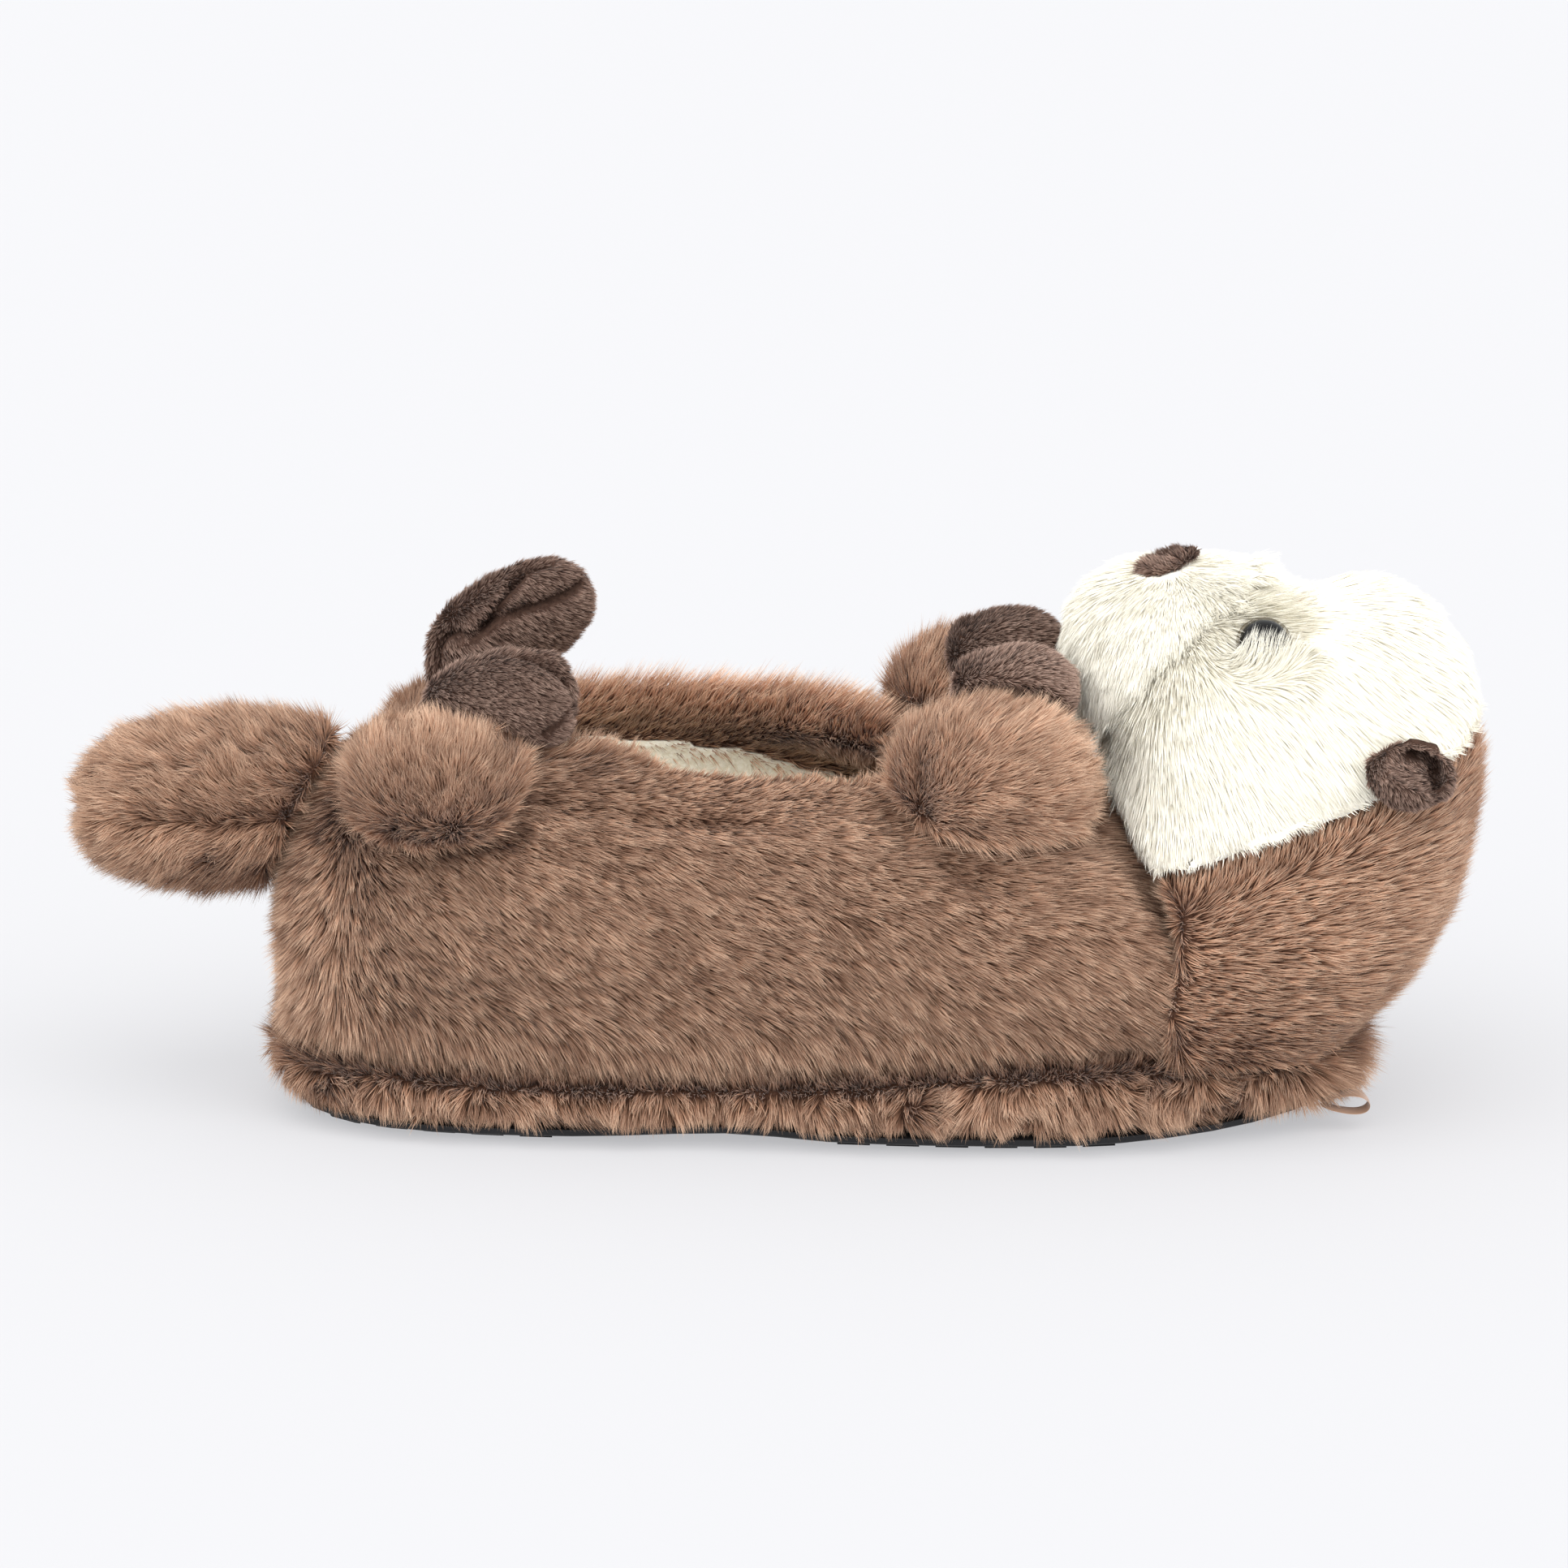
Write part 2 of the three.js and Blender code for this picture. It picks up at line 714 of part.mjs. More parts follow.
// The face panel that wraps the top of the head
function makeFace(form) {
  return form.intersect(aboveFace(0)).subtract(solidOfRings(headRings(-FACE_THICK)));
}

// The snout, cut off where it stands on the head
function makeMuzzle(headSolid) {
  return limbSolid("muzzle", 1, 0, pointsRound.snout, 9).subtract(headSolid);
}

// The nose is cut between two larger forms of the snout
function makeNose() {
  const shell = limbSolid("muzzle", 1, GAP + NOSE_THICK, pointsRound.snout, 9).subtract(
    limbSolid("muzzle", 1, GAP, pointsRound.snout, 9),
  );
  const patch = new THREE.SphereGeometry(1, 12, 8);
  patch.scale(NOSE_SIZE.x, NOSE_SIZE.y, NOSE_SIZE.z);
  patch.translate(NOSE_AT.x, NOSE_AT.y, NOSE_AT.z);
  return shell.intersect(solidOfGeometry(patch));
}

// A dome that looks out and up from the head
function makeEye(side) {
  const dome = new THREE.SphereGeometry(EYE_RADIUS, 12, 8);
  dome.scale(1, 1, EYE_DOME);
  dome.applyQuaternion(
    new THREE.Quaternion().setFromUnitVectors(
      new THREE.Vector3(0, 0, 1),
      new THREE.Vector3(-0.05, 0.75 * side, 0.66).normalize(),
    ),
  );
  dome.translate(EYE_AT.x, EYE_AT.y * side, EYE_AT.z);
  return solidOfGeometry(dome).subtract(solidOfRings(headRings(GAP)));
}

// The ear is a bent cup: a flat round lobe with a hollow scooped out of its front
function makeEar(side) {
  const lobe = new THREE.SphereGeometry(1, 14, 8);
  lobe.scale(EAR_WIDE, EAR_DEEP, EAR_TALL);
  lobe.rotateY(0.25);
  const scoop = new THREE.SphereGeometry(1, 12, 6);
  scoop.scale(EAR_WIDE * 0.72, EAR_DEEP * 0.89, EAR_TALL * 0.5);
  scoop.rotateY(0.5);
  scoop.translate(EAR_WIDE * 0.16, -EAR_DEEP * 0.78, EAR_TALL * 0.5);
  const ear = solidOfGeometry(lobe).subtract(solidOfGeometry(scoop));
  const placed = side < 0 ? ear : ear.mirror([0, 1, 0]);
  return placed
    .translate([EAR_AT.x, EAR_AT.y * side, EAR_AT.z])
    .subtract(solidOfRings(headRings(GAP)));
}

// The middle of the ribbon loop, at the sole's toe
function loopPlace() {
  const x = HEEL_END + SOLE_LENGTH - LOOP_BACKSET;
  return new THREE.Vector3(x, LOOP_ASIDE, outsoleTopAt(x) + LOOP_LIFT);
}

// The ribbon is one satin strip bent into a loop, its ends sewn in between the two soles
function makeRibbonLoop() {
  const bend = new THREE.CatmullRomCurve3([
    new THREE.Vector3(-0.2, 0, -2.2),
    new THREE.Vector3(6.0, 0, -2.9),
    new THREE.Vector3(11.0, 0, -2.4),
    new THREE.Vector3(13.4, 0, -0.2),
    new THREE.Vector3(12.0, 0, 1.8),
    new THREE.Vector3(8.0, 0, 2.4),
    new THREE.Vector3(2.5, 0, 2.4),
  ]);
  const strip = new THREE.Shape([
    new THREE.Vector2(-LOOP_WIDE / 2, -LOOP_THICK / 2),
    new THREE.Vector2(LOOP_WIDE / 2, -LOOP_THICK / 2),
    new THREE.Vector2(LOOP_WIDE / 2, LOOP_THICK / 2),
    new THREE.Vector2(-LOOP_WIDE / 2, LOOP_THICK / 2),
  ]);
  const geometry = new THREE.ExtrudeGeometry(strip, { steps: 16, extrudePath: bend });
  const place = loopPlace();
  geometry.translate(place.x, place.y, place.z);
  return solidOfGeometry(geometry);
}

// All the pieces, from the sole up
const group = new THREE.Group();

function addPiece(name, solid, colour, roughness) {
  const mesh = mainBody(solid).getMesh();
  const geometry = new THREE.BufferGeometry();
  geometry.setAttribute("position", new THREE.BufferAttribute(mesh.vertProperties.slice(), 3));
  geometry.setIndex(new THREE.BufferAttribute(mesh.triVerts.slice(), 1));
  const flat = geometry.toNonIndexed();
  flat.computeVertexNormals();
  const material = new THREE.MeshStandardMaterial({ color: colour, roughness, metalness: 0 });
  const piece = new THREE.Mesh(flat, material);
  piece.name = name;
  group.add(piece);
}

const upperFill = solidOfRings(upperRings(GAP, false));
const headFill = solidOfRings(headRings(GAP)).subtract(bodySide(-GAP));
const head = headForm();

addPiece("outsole", makeOutsole(), BLACK, 0.75);
addPiece("midsole", makeMidsole(), BROWN, 0.95);
addPiece("insole", makeInsole(), CREAM, 0.95);
addPiece("upper", makeUpper(), BROWN, 0.95);
addPiece("head", makeHead(head), BROWN, 0.95);
addPiece("face", makeFace(head), CREAM, 0.95);
addPiece("muzzle", makeMuzzle(headFill), CREAM, 0.95);
addPiece("nose", makeNose(), DARK, 0.9);
for (const [word, side] of [
  ["near", -1],
  ["far", 1],
]) {
  const arm = limbSolid("arm", side, 0).subtract(upperFill).subtract(headFill);
  const paw = limbSolid("paw", side, 0)
    .subtract(limbSolid("arm", side, GAP))
    .subtract(upperFill)
    .subtract(headFill)
    .subtract(limbSolid("muzzle", 1, GAP, pointsRound.snout, 9));
  const haunch = limbSolid("haunch", side, 0).subtract(upperFill);
  const foot = limbSolid(`hind_foot_${word}`, side, 0)
    .subtract(limbSolid("haunch", side, GAP))
    .subtract(upperFill);
  addPiece(`eye_${word}`, makeEye(side), EYE, 0.08);
  addPiece(`ear_${word}`, makeEar(side), DARK, 0.9);
  addPiece(`arm_${word}`, arm, BROWN, 0.95);
  addPiece(`paw_${word}`, paw, DARK, 0.9);
  addPiece(`haunch_${word}`, haunch, BROWN, 0.95);
  addPiece(`hind_foot_${word}`, foot, DARK, 0.9);
}
addPiece("tail", solidOfRings(tailRings(0)).subtract(upperFill), BROWN, 0.95);
addPiece("ribbon_loop", makeRibbonLoop(), SATIN, 0.35);

export default group;
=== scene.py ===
import math

import bpy
import numpy as np
from mathutils import Matrix, Vector, noise


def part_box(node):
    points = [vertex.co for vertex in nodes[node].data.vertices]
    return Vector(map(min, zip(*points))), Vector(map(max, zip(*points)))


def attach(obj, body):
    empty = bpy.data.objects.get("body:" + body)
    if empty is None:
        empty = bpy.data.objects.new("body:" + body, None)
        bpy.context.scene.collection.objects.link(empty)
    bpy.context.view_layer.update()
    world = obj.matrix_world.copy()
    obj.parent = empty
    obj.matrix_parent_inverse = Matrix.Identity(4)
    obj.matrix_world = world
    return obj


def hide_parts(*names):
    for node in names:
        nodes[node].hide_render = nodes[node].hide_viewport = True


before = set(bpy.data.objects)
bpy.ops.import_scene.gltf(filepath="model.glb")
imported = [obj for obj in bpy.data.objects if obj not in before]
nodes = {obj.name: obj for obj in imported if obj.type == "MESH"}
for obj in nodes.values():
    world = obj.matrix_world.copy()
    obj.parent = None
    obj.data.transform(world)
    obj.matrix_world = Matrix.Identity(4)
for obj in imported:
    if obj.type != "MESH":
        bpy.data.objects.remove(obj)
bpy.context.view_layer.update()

MM = 0.001


# OUTSOLE
# A black moulded rubber plate with tread bars at the heel and the forefoot. It is sewn under the
# fur band and shows only as a dark line below the fringe, and from underneath.

def pick(piece):
    """Only this piece is selected and active."""
    bpy.ops.object.select_all(action="DESELECT")
    piece.select_set(True)
    bpy.context.view_layer.objects.active = piece


def finish_of(name, roughness=0.9, sheen=0.0, sheen_roughness=0.5, specular=0.5):
    """A new material, with the numbers that are the same all over set on its shader."""
    made = bpy.data.materials.new(name)
    made.use_nodes = True
    shader = made.node_tree.nodes["Principled BSDF"]
    shader.inputs["Roughness"].default_value = roughness
    shader.inputs["Sheen Weight"].default_value = sheen
    shader.inputs["Sheen Roughness"].default_value = sheen_roughness
    shader.inputs["Specular IOR Level"].default_value = specular
    return made, shader


def add(made, kind, **values):
    """A node of a material. A value's name is that of its socket or of its setting."""
    node = made.node_tree.nodes.new("ShaderNode" + kind)
    for word, value in values.items():
        found = [s for s in node.inputs if s.name.lower() == word.replace("_", " ").lower() and s.enabled]
        if found:
            found[0].default_value = value
        else:
            setattr(node, word, value)
    return node


def join(made, source, target):
    made.node_tree.links.new(source, target)


def linear(colour):
    """A colour in 0 to 255 values as the shader's own numbers."""
    return [((c / 255 + 0.055) / 1.055) ** 2.4 if c > 10 else c / 255 / 12.92 for c in colour]


def ramp(made, factor, stops):
    """Colours over a factor, each stop a place and a colour in 0 to 255 values."""
    node = add(made, "ValToRGB")
    while len(node.color_ramp.elements) < len(stops):
        node.color_ramp.elements.new(0.5)
    for stop, (place, colour) in zip(node.color_ramp.elements, stops):
        stop.position = place
        stop.color = (*linear(colour), 1)
    join(made, factor, node.inputs[0])
    return node.outputs[0]


def dress(piece, made):
    piece.data.materials.clear()
    piece.data.materials.append(made)


rubber, shader = finish_of("black_rubber", specular=0.4)
place = add(rubber, "TexCoord")
grain = add(rubber, "TexNoise", Scale=2400.0, Detail=3.0)
join(rubber, place.outputs["Object"], grain.inputs["Vector"])
tones = [(0.3, (18, 18, 20)), (0.7, (34, 34, 36))]
join(rubber, ramp(rubber, grain.outputs["Fac"], tones), shader.inputs["Base Color"])
rough = add(rubber, "MapRange", From_Min=0.3, From_Max=0.7, To_Min=0.62, To_Max=0.85)
join(rubber, grain.outputs["Fac"], rough.inputs["Value"])
join(rubber, rough.outputs["Result"], shader.inputs["Roughness"])
bump = add(rubber, "Bump", Strength=0.5, Distance=0.0002)
join(rubber, grain.outputs["Fac"], bump.inputs["Height"])
join(rubber, bump.outputs["Normal"], shader.inputs["Normal"])
dress(nodes["outsole"], rubber)


# MIDSOLE BAND
# A foam slab wrapped in brown faux fur, sewn round the bottom of the upper. The pile of this band
# is ruffled in short whirls, stands out flat along its upper edge, and hangs over the outsole.

def apply(piece, modifier):
    pick(piece)
    bpy.ops.object.modifier_apply(modifier=modifier.name)


def points_of(piece):
    """The corners of a piece in millimetres, and the directions in which its skin faces there."""
    count = len(piece.data.vertices)
    at = np.empty(count * 3, dtype=np.float32)
    out = np.empty(count * 3, dtype=np.float32)
    piece.data.vertices.foreach_get("co", at)
    piece.data.vertices.foreach_get("normal", out)
    return at.reshape(-1, 3).astype(float) / MM, out.reshape(-1, 3).astype(float)


def move_to(piece, at):
    piece.data.vertices.foreach_set("co", (at * MM).astype(np.float32).ravel())
    piece.data.update()


def skin_of(node, name, cell, soften):
    """The fabric under a node's pile: the node's form in even faces, with its locks smoothed off."""
    piece = bpy.data.objects.new(name, nodes[node].data.copy())
    bpy.context.scene.collection.objects.link(piece)
    pick(piece)
    bpy.ops.object.mode_set(mode="EDIT")
    bpy.ops.mesh.select_all(action="SELECT")
    bpy.ops.mesh.remove_doubles(threshold=0.00001)
    bpy.ops.object.mode_set(mode="OBJECT")
    even = piece.modifiers.new("even", "REMESH")
    even.mode = "VOXEL"
    even.voxel_size = cell * MM
    apply(piece, even)
    soft = piece.modifiers.new("soft", "SMOOTH")
    soft.factor = 0.5
    soft.iterations = soften
    apply(piece, soft)
    bpy.ops.object.shade_smooth()
    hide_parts(node)
    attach(piece, "root")
    return piece


def unit(v):
    return v / np.maximum(np.linalg.norm(v, axis=-1, keepdims=True), 1e-9)


def fade(low, high, value):
    """0 below low, 1 above high, and a soft change between; the other way round if low is higher."""
    share = np.clip((value - low) / (high - low), 0, 1)
    return share * share * (3 - 2 * share)


noise.seed_set(7)


def waves(at, size, seed):
    """Smooth uneven vectors, each number about -1 to 1, that change over size millimetres."""
    shift = Vector((seed * 17.3, seed * 5.1, seed * 9.7))
    return np.array([noise.noise_vector(Vector(p) / size + shift) for p in at])


def near_line(at, line, wide):
    """How near points are to a line drawn on the side view: 1 on it, fading over its width."""
    seen = at[:, [0, 2]]
    away = np.full(len(seen), 1e9)
    for start, end in zip(np.array(line[:-1], float), np.array(line[1:], float)):
        along = np.clip((seen - start) @ (end - start) / ((end - start) @ (end - start)), 0, 1)
        away = np.minimum(away, np.linalg.norm(seen - start - along[:, None] * (end - start), axis=1))
    return np.exp(-((away / wide) ** 2))


def leaning(out, flow, lean):
    """Hair directions that lean over by some degrees from where the skin faces, along the flow."""
    along = unit(flow - out * np.sum(flow * out, axis=1, keepdims=True))
    lean = np.radians(lean) * np.ones(len(out))
    return out * np.cos(lean)[:, None] + along * np.sin(lean)[:, None]


# one hair: a triangle from its root at the origin up to its tip, copied all over the skins
bpy.ops.object.select_all(action="DESELECT")
bpy.ops.mesh.primitive_plane_add(size=1)
one_hair = bpy.context.object
one_hair.name = "one_hair"
one_hair.data.uv_layers[0].name = "OFBake"
bpy.ops.object.mode_set(mode="EDIT")
bpy.ops.mesh.select_all(action="SELECT")
bpy.ops.transform.translate(value=(0.5, 0, 0))
bpy.ops.transform.rotate(value=-math.pi / 2, orient_axis="Y", center_override=(0, 0, 0))
bpy.ops.mesh.select_all(action="DESELECT")
bpy.ops.object.mode_set(mode="OBJECT")
for point in one_hair.data.vertices:
    point.select = abs(point.co.z) > 0.5
bpy.ops.object.mode_set(mode="EDIT")
bpy.ops.mesh.merge(type="CENTER")
bpy.ops.object.mode_set(mode="OBJECT")
for point in one_hair.data.vertices:
    point.co = (0, point.co.y, abs(point.co.z))
for corner in one_hair.data.loops:
    point = one_hair.data.vertices[corner.vertex_index].co
    one_hair.data.uv_layers[0].data[corner.index].uv = (point.y + 0.5, point.z)


def comb(skin, way, long, share=1.0, tint=0.5):
    """Writes on a skin how its hairs lie: direction, length in mm, density and how light they are. How
    light they are also holds painted light and shade, per piece and in creases and seams.
    """
    every = np.ones(len(skin.data.vertices))
    for word, kind in (("lay", "FLOAT_VECTOR"), ("grow", "FLOAT"), ("tint", "FLOAT")):
        if word not in skin.data.attributes:
            skin.data.attributes.new(word, kind, "POINT")
    laid = (way * (every * long * MM)[:, None]).astype(np.float32).ravel()
    skin.data.attributes["lay"].data.foreach_set("vector", laid)
    skin.data.attributes["grow"].data.foreach_set("value", (every * share).astype(np.float32))
    skin.data.attributes["tint"].data.foreach_set("value", (every * tint).astype(np.float32))


def grow(skin, name, finish, count, wide, tuft, gather, stray, seed, crisp=1.0):
    """About count hairs planted all over a combed skin, in tufts, as one mesh of its own.

    wide is a hair's width and tuft the distance between tufts in millimetres. gather says how far
    the tips of a tuft go together, and stray how far each hair goes its own way. crisp says how
    much each hair takes the light by itself, instead of with the fabric under it.
    """
    mesh = skin.data
    planted_share = np.empty(len(mesh.vertices), dtype=np.float32)
    mesh.attributes["grow"].data.foreach_get("value", planted_share)
    room = sum(face.area * planted_share[list(face.vertices)].mean() for face in mesh.polygons)
    piece = bpy.data.objects.new(name, mesh.copy())
    bpy.context.scene.collection.objects.link(piece)
    tree = bpy.data.node_groups.new(name, "GeometryNodeTree")
    tree.interface.new_socket("Geometry", in_out="INPUT", socket_type="NodeSocketGeometry")
    tree.interface.new_socket("Geometry", in_out="OUTPUT", socket_type="NodeSocketGeometry")

    def put(kind, settings=None, **values):
        """A node. A value's name is that of its socket, or an underscore and the socket's number."""
        made = tree.nodes.new(kind)
        for word, value in (settings or {}).items():
            setattr(made, word, value)
        for word, value in values.items():
            if word[0] == "_":
                socket = made.inputs[int(word[1:])]
            else:
                socket = [s for s in made.inputs if s.enabled and s.name.replace(" ", "_") == word][0]
            if isinstance(value, bpy.types.NodeSocket):
                tree.links.new(value, socket)
            else:
                socket.default_value = value
        return made

    def got(made, word=None):
        return [s for s in made.outputs if s.enabled and (word is None or s.name == word)][0]

    def written(word, kind):
        return got(put("GeometryNodeInputNamedAttribute", {"data_type": kind}, Name=word), "Attribute")

    def maths(kind, a, b):
        return got(put("ShaderNodeMath", {"operation": kind}, _0=a, _1=b))

    def vectors(kind, a, b):
        return got(put("ShaderNodeVectorMath", {"operation": kind}, _0=a, _1=b), "Vector")

    def length_of(a):
        return got(put("ShaderNodeVectorMath", {"operation": "LENGTH"}, _0=a), "Value")

    def scaled(a, factor):
        return got(put("ShaderNodeVectorMath", {"operation": "SCALE"}, _0=a, Scale=factor), "Vector")

    def chance(low, high, number, identity=None):
        settings = {"data_type": "FLOAT_VECTOR" if isinstance(low, tuple) else "FLOAT"}
        made = put("FunctionNodeRandomValue", settings, Min=low, Max=high, Seed=seed * 100 + number)
        if identity is not None:
            tree.links.new(identity, made.inputs["ID"])
        return got(made, "Value")

    def kept(geometry, word, kind, domain, value):
        settings = {"data_type": kind, "domain": domain}
        ends = {"Geometry": geometry, "Name": word, "Value": value}
        return got(put("GeometryNodeStoreNamedAttribute", settings, **ends))

    start = tree.nodes.new("NodeGroupInput").outputs[0]
    end = tree.nodes.new("NodeGroupOutput")
    density = maths("MULTIPLY", written("grow", "FLOAT"), count / room)
    random = {"distribute_method": "RANDOM"}
    planted = put("GeometryNodeDistributePointsOnFaces", random, Mesh=start, Density=density, Seed=seed)
    spaced = {"distribute_method": "POISSON"}
    apart = {"Distance_Min": tuft * MM, "Density_Max": 4e6 / tuft**2, "Seed": seed + 1}
    tufts = put("GeometryNodeDistributePointsOnFaces", spaced, Mesh=start, **apart).outputs["Points"]
    lay = written("lay", "FLOAT_VECTOR")
    here = got(put("GeometryNodeInputPosition"))
    own = got(put("GeometryNodeSampleNearest", {"domain": "POINT"}, Geometry=tufts, Sample_Position=here))

    def of_tuft(value):
        settings = {"data_type": "FLOAT_VECTOR", "domain": "POINT"}
        found = put("GeometryNodeSampleIndex", settings, Geometry=tufts, Value=value, Index=own)
        return got(found, "Value")

    gathered = vectors("SUBTRACT", vectors("ADD", of_tuft(here), of_tuft(lay)), here)
    pull = maths("MULTIPLY", chance(0.3, 1.0, 1), gather)
    mixed = vectors("ADD", scaled(lay, maths("SUBTRACT", 1.0, pull)), scaled(gathered, pull))
    any_way = (-1.0, -1.0, -1.0), (1.0, 1.0, 1.0)
    way = vectors("ADD", mixed, scaled(chance(*any_way, 2), maths("MULTIPLY", length_of(lay), stray)))
    uneven = maths("MULTIPLY", chance(0.75, 1.1, 3), chance(0.8, 1.15, 9, own))
    long = maths("MULTIPLY", length_of(way), uneven)
    facing = planted.outputs["Normal"]
    axes = {"primary_axis": "Z", "secondary_axis": "X"}
    turned = got(put("FunctionNodeAxesToRotation", axes, Primary_Axis=way, Secondary_Axis=facing))
    rolled = got(put("FunctionNodeAxisAngleToRotation", Axis=(0.0, 0.0, 1.0), Angle=chance(-0.8, 0.8, 4)))
    local = {"rotation_space": "LOCAL"}
    turned = got(put("FunctionNodeRotateRotation", local, Rotation=turned, Rotate_By=rolled))
    across = chance(wide * MM * 0.7, wide * MM * 1.25, 5)
    size = got(put("ShaderNodeCombineXYZ", X=long, Y=across, Z=long))
    of_each = maths("ADD", chance(0.0, 0.46, 6, own), chance(0.0, 0.28, 7))
    tone = maths("ADD", maths("MULTIPLY", written("tint", "FLOAT"), 0.26), of_each)
    toned = kept(planted.outputs["Points"], "tone", "FLOAT", "POINT", tone)
    straight = got(put("ShaderNodeVectorMath", {"operation": "NORMALIZE"}, _0=way), "Vector")
    lit = vectors("ADD", facing, scaled(straight, 0.22 * crisp))
    lit = vectors("ADD", lit, scaled(chance(*any_way, 8), 0.45 * crisp))
    toned = kept(toned, "lit", "FLOAT_VECTOR", "POINT", lit)
    hair = got(put("GeometryNodeObjectInfo", {"transform_space": "ORIGINAL"}, Object=one_hair), "Geometry")
    ends = {"Points": toned, "Instance": hair, "Rotation": turned, "Scale": size}
    placed = got(put("GeometryNodeInstanceOnPoints", **ends))
    real = got(put("GeometryNodeRealizeInstances", Geometry=placed))
    chart = put("ShaderNodeSeparateXYZ", Vector=written("OFBake", "FLOAT_VECTOR"))
    across = maths("MULTIPLY", written("tone", "FLOAT"), 0.96)
    across = maths("ADD", maths("MULTIPLY", chart.outputs["X"], 0.03), across)
    chart = got(put("ShaderNodeCombineXYZ", X=across, Y=chart.outputs["Y"]))
    real = kept(real, "OFBake", "FLOAT2", "CORNER", chart)
    free = {"mode": "FREE", "domain": "POINT"}
    real = got(put("GeometryNodeSetMeshNormal", free, _0=real, _1=written("lit", "FLOAT_VECTOR")))
    tree.links.new(real, end.inputs[0])
    modifier = piece.modifiers.new("hairs", "NODES")
    modifier.node_group = tree
    apply(piece, modifier)
    bpy.data.node_groups.remove(tree)
    for word in ("lay", "tint", "grow", "tone", "lit"):
        if word in piece.data.attributes:
            piece.data.attributes.remove(piece.data.attributes[word])
    dress(piece, finish)
    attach(piece, "root")
    return piece


def pile(name, dark, light, sheen=0.25):
    """Pile whose hairs run from root to tip through three colours, from dark hairs to light ones. Each hair
    darkens toward its root as painted shade deep in the pile, and lightens toward its tip as painted light.
    """
    made, shader = finish_of(name, roughness=0.85, sheen=sheen, sheen_roughness=0.4, specular=0.2)
    chart = add(made, "UVMap", uv_map="OFBake")
    parts = add(made, "SeparateXYZ")
    join(made, chart.outputs["UV"], parts.inputs[0])
    mix = add(made, "Mix", data_type="RGBA")
    join(made, parts.outputs["X"], mix.inputs["Factor"])
    join(made, ramp(made, parts.outputs["Y"], list(zip((0.0, 0.45, 1.0), dark))), mix.inputs[6])
    join(made, ramp(made, parts.outputs["Y"], list(zip((0.0, 0.45, 1.0), light))), mix.inputs[7])
    join(made, mix.outputs[2], shader.inputs["Base Color"])
    return made


def backing(name, low, high):
    """The knitted backing and the dense roots of the pile, seen only between the hairs. Where it is darker
    than the hairs, that is painted shade deep in the pile.
    """
    made, shader = finish_of(name, roughness=1.0, specular=0.1)
    place = add(made, "TexCoord")
    cloud = add(made, "TexNoise", Scale=900.0, Detail=4.0)
    join(made, place.outputs["Object"], cloud.inputs["Vector"])
    join(made, ramp(made, cloud.outputs["Fac"], [(0.35, low), (0.65, high)]), shader.inputs["Base Color"])
    bump = add(made, "Bump", Strength=0.6, Distance=0.0006)
    join(made, cloud.outputs["Fac"], bump.inputs["Height"])
    join(made, bump.outputs["Normal"], shader.inputs["Normal"])
    return made


# Painted shade and light: the hairs run from dark roots to light tips.
brown_fur = pile(
    "brown_fur",
    dark=[(44, 26, 17), (88, 56, 40), (146, 106, 83)],
    light=[(130, 92, 69), (210, 163, 132), (240, 212, 185)],
)
brown_backing = backing("brown_backing", (66, 44, 34), (88, 62, 49))

band = skin_of("midsole", "band", cell=3.4, soften=5)
at, out = points_of(band)
ruffles = waves(at, 9.0, 3)[:, 0]
set_in = 2.4 - 1.0 * fade(-90, -120, at[:, 0]) - 2.4 * fade(118, 134, at[:, 0]) + 0.7 * ruffles
at = at - out * set_in[:, None]
move_to(band, at)
dress(band, brown_backing)
flow = np.array([0.45, 0, -0.8]) + waves(at, 8.0, 1) * 1.7 + waves(at, 26.0, 2) * 0.8
upper_edge = fade(0.3, 0.7, out[:, 2])
outward = out * np.array([1, 1, 0]) * 2.0 + waves(at, 6.0, 61) * 0.5
flow = flow * (1 - upper_edge[:, None]) + outward * upper_edge[:, None]
share = fade(0.02, 0.12, np.hypot(out[:, 0], out[:, 1])) * fade(-0.99, -0.9, out[:, 2])
way = leaning(out, flow, (50 + 16 * ruffles) * (1 - 0.5 * upper_edge))
long = 6.8 + 1.4 * waves(at, 8.0, 4)[:, 1] + 3.0 * fade(118, 134, at[:, 0])
to_floor = np.maximum(at[:, 2] - 2.2, 0.4) / np.maximum(-way[:, 2], 0.05)
long = np.minimum(long, to_floor * 0.72)
tint = 0.4 + 0.4 * waves(at, 10.0, 5)[:, 0] + 0.3 * waves(at, 3.0, 68)[:, 0]
comb(band, way, long, share, tint)
laid = {"wide": 0.35, "tuft": 2.2, "gather": 0.65, "stray": 0.18}
band_fur = grow(band, "band_fur", brown_fur, 90000, seed=3, **laid)


# INSOLE
# A thin foam footbed faced with cream plush, laid loose on the midsole inside the slipper.

cream_plush = backing("cream_plush", (232, 224, 202), (248, 243, 228))
footbed = skin_of("insole", "footbed", cell=3.4, soften=3)
dress(footbed, cream_plush)


# UPPER
# The animal's body: a padded shell of long brown faux fur with a thick rolled collar, soft creases
# where it folds under the arms and the haunches, and a cream plush lining inside below the roll.

body = skin_of("upper", "body", cell=3.3, soften=5)
at, out = points_of(body)
spine = np.stack([np.clip(at[:, 0], -78, 78), np.zeros(len(at)), np.full(len(at), 50.0)], axis=1)
facing = np.sum(out * unit(at - spine), axis=1)
outer = fade(-0.15, 0.3, facing)
inside = fade(0.25, -0.2, facing)
toe_box = fade(98, 108, at[:, 0])
sideways = fade(0.2, 0.6, np.abs(out[:, 1]))


def edge_at(at):
    """The height at which the brown roll ends and the cream lining begins."""
    along = (-90, -52, -30, -11, 2.4, 12, 24)
    height = (86, 86, 84.7, 82.5, 78.3, 75.5, 72)
    return np.interp(at[:, 0], along, height) - 3.5 * fade(0, -8, at[:, 1])


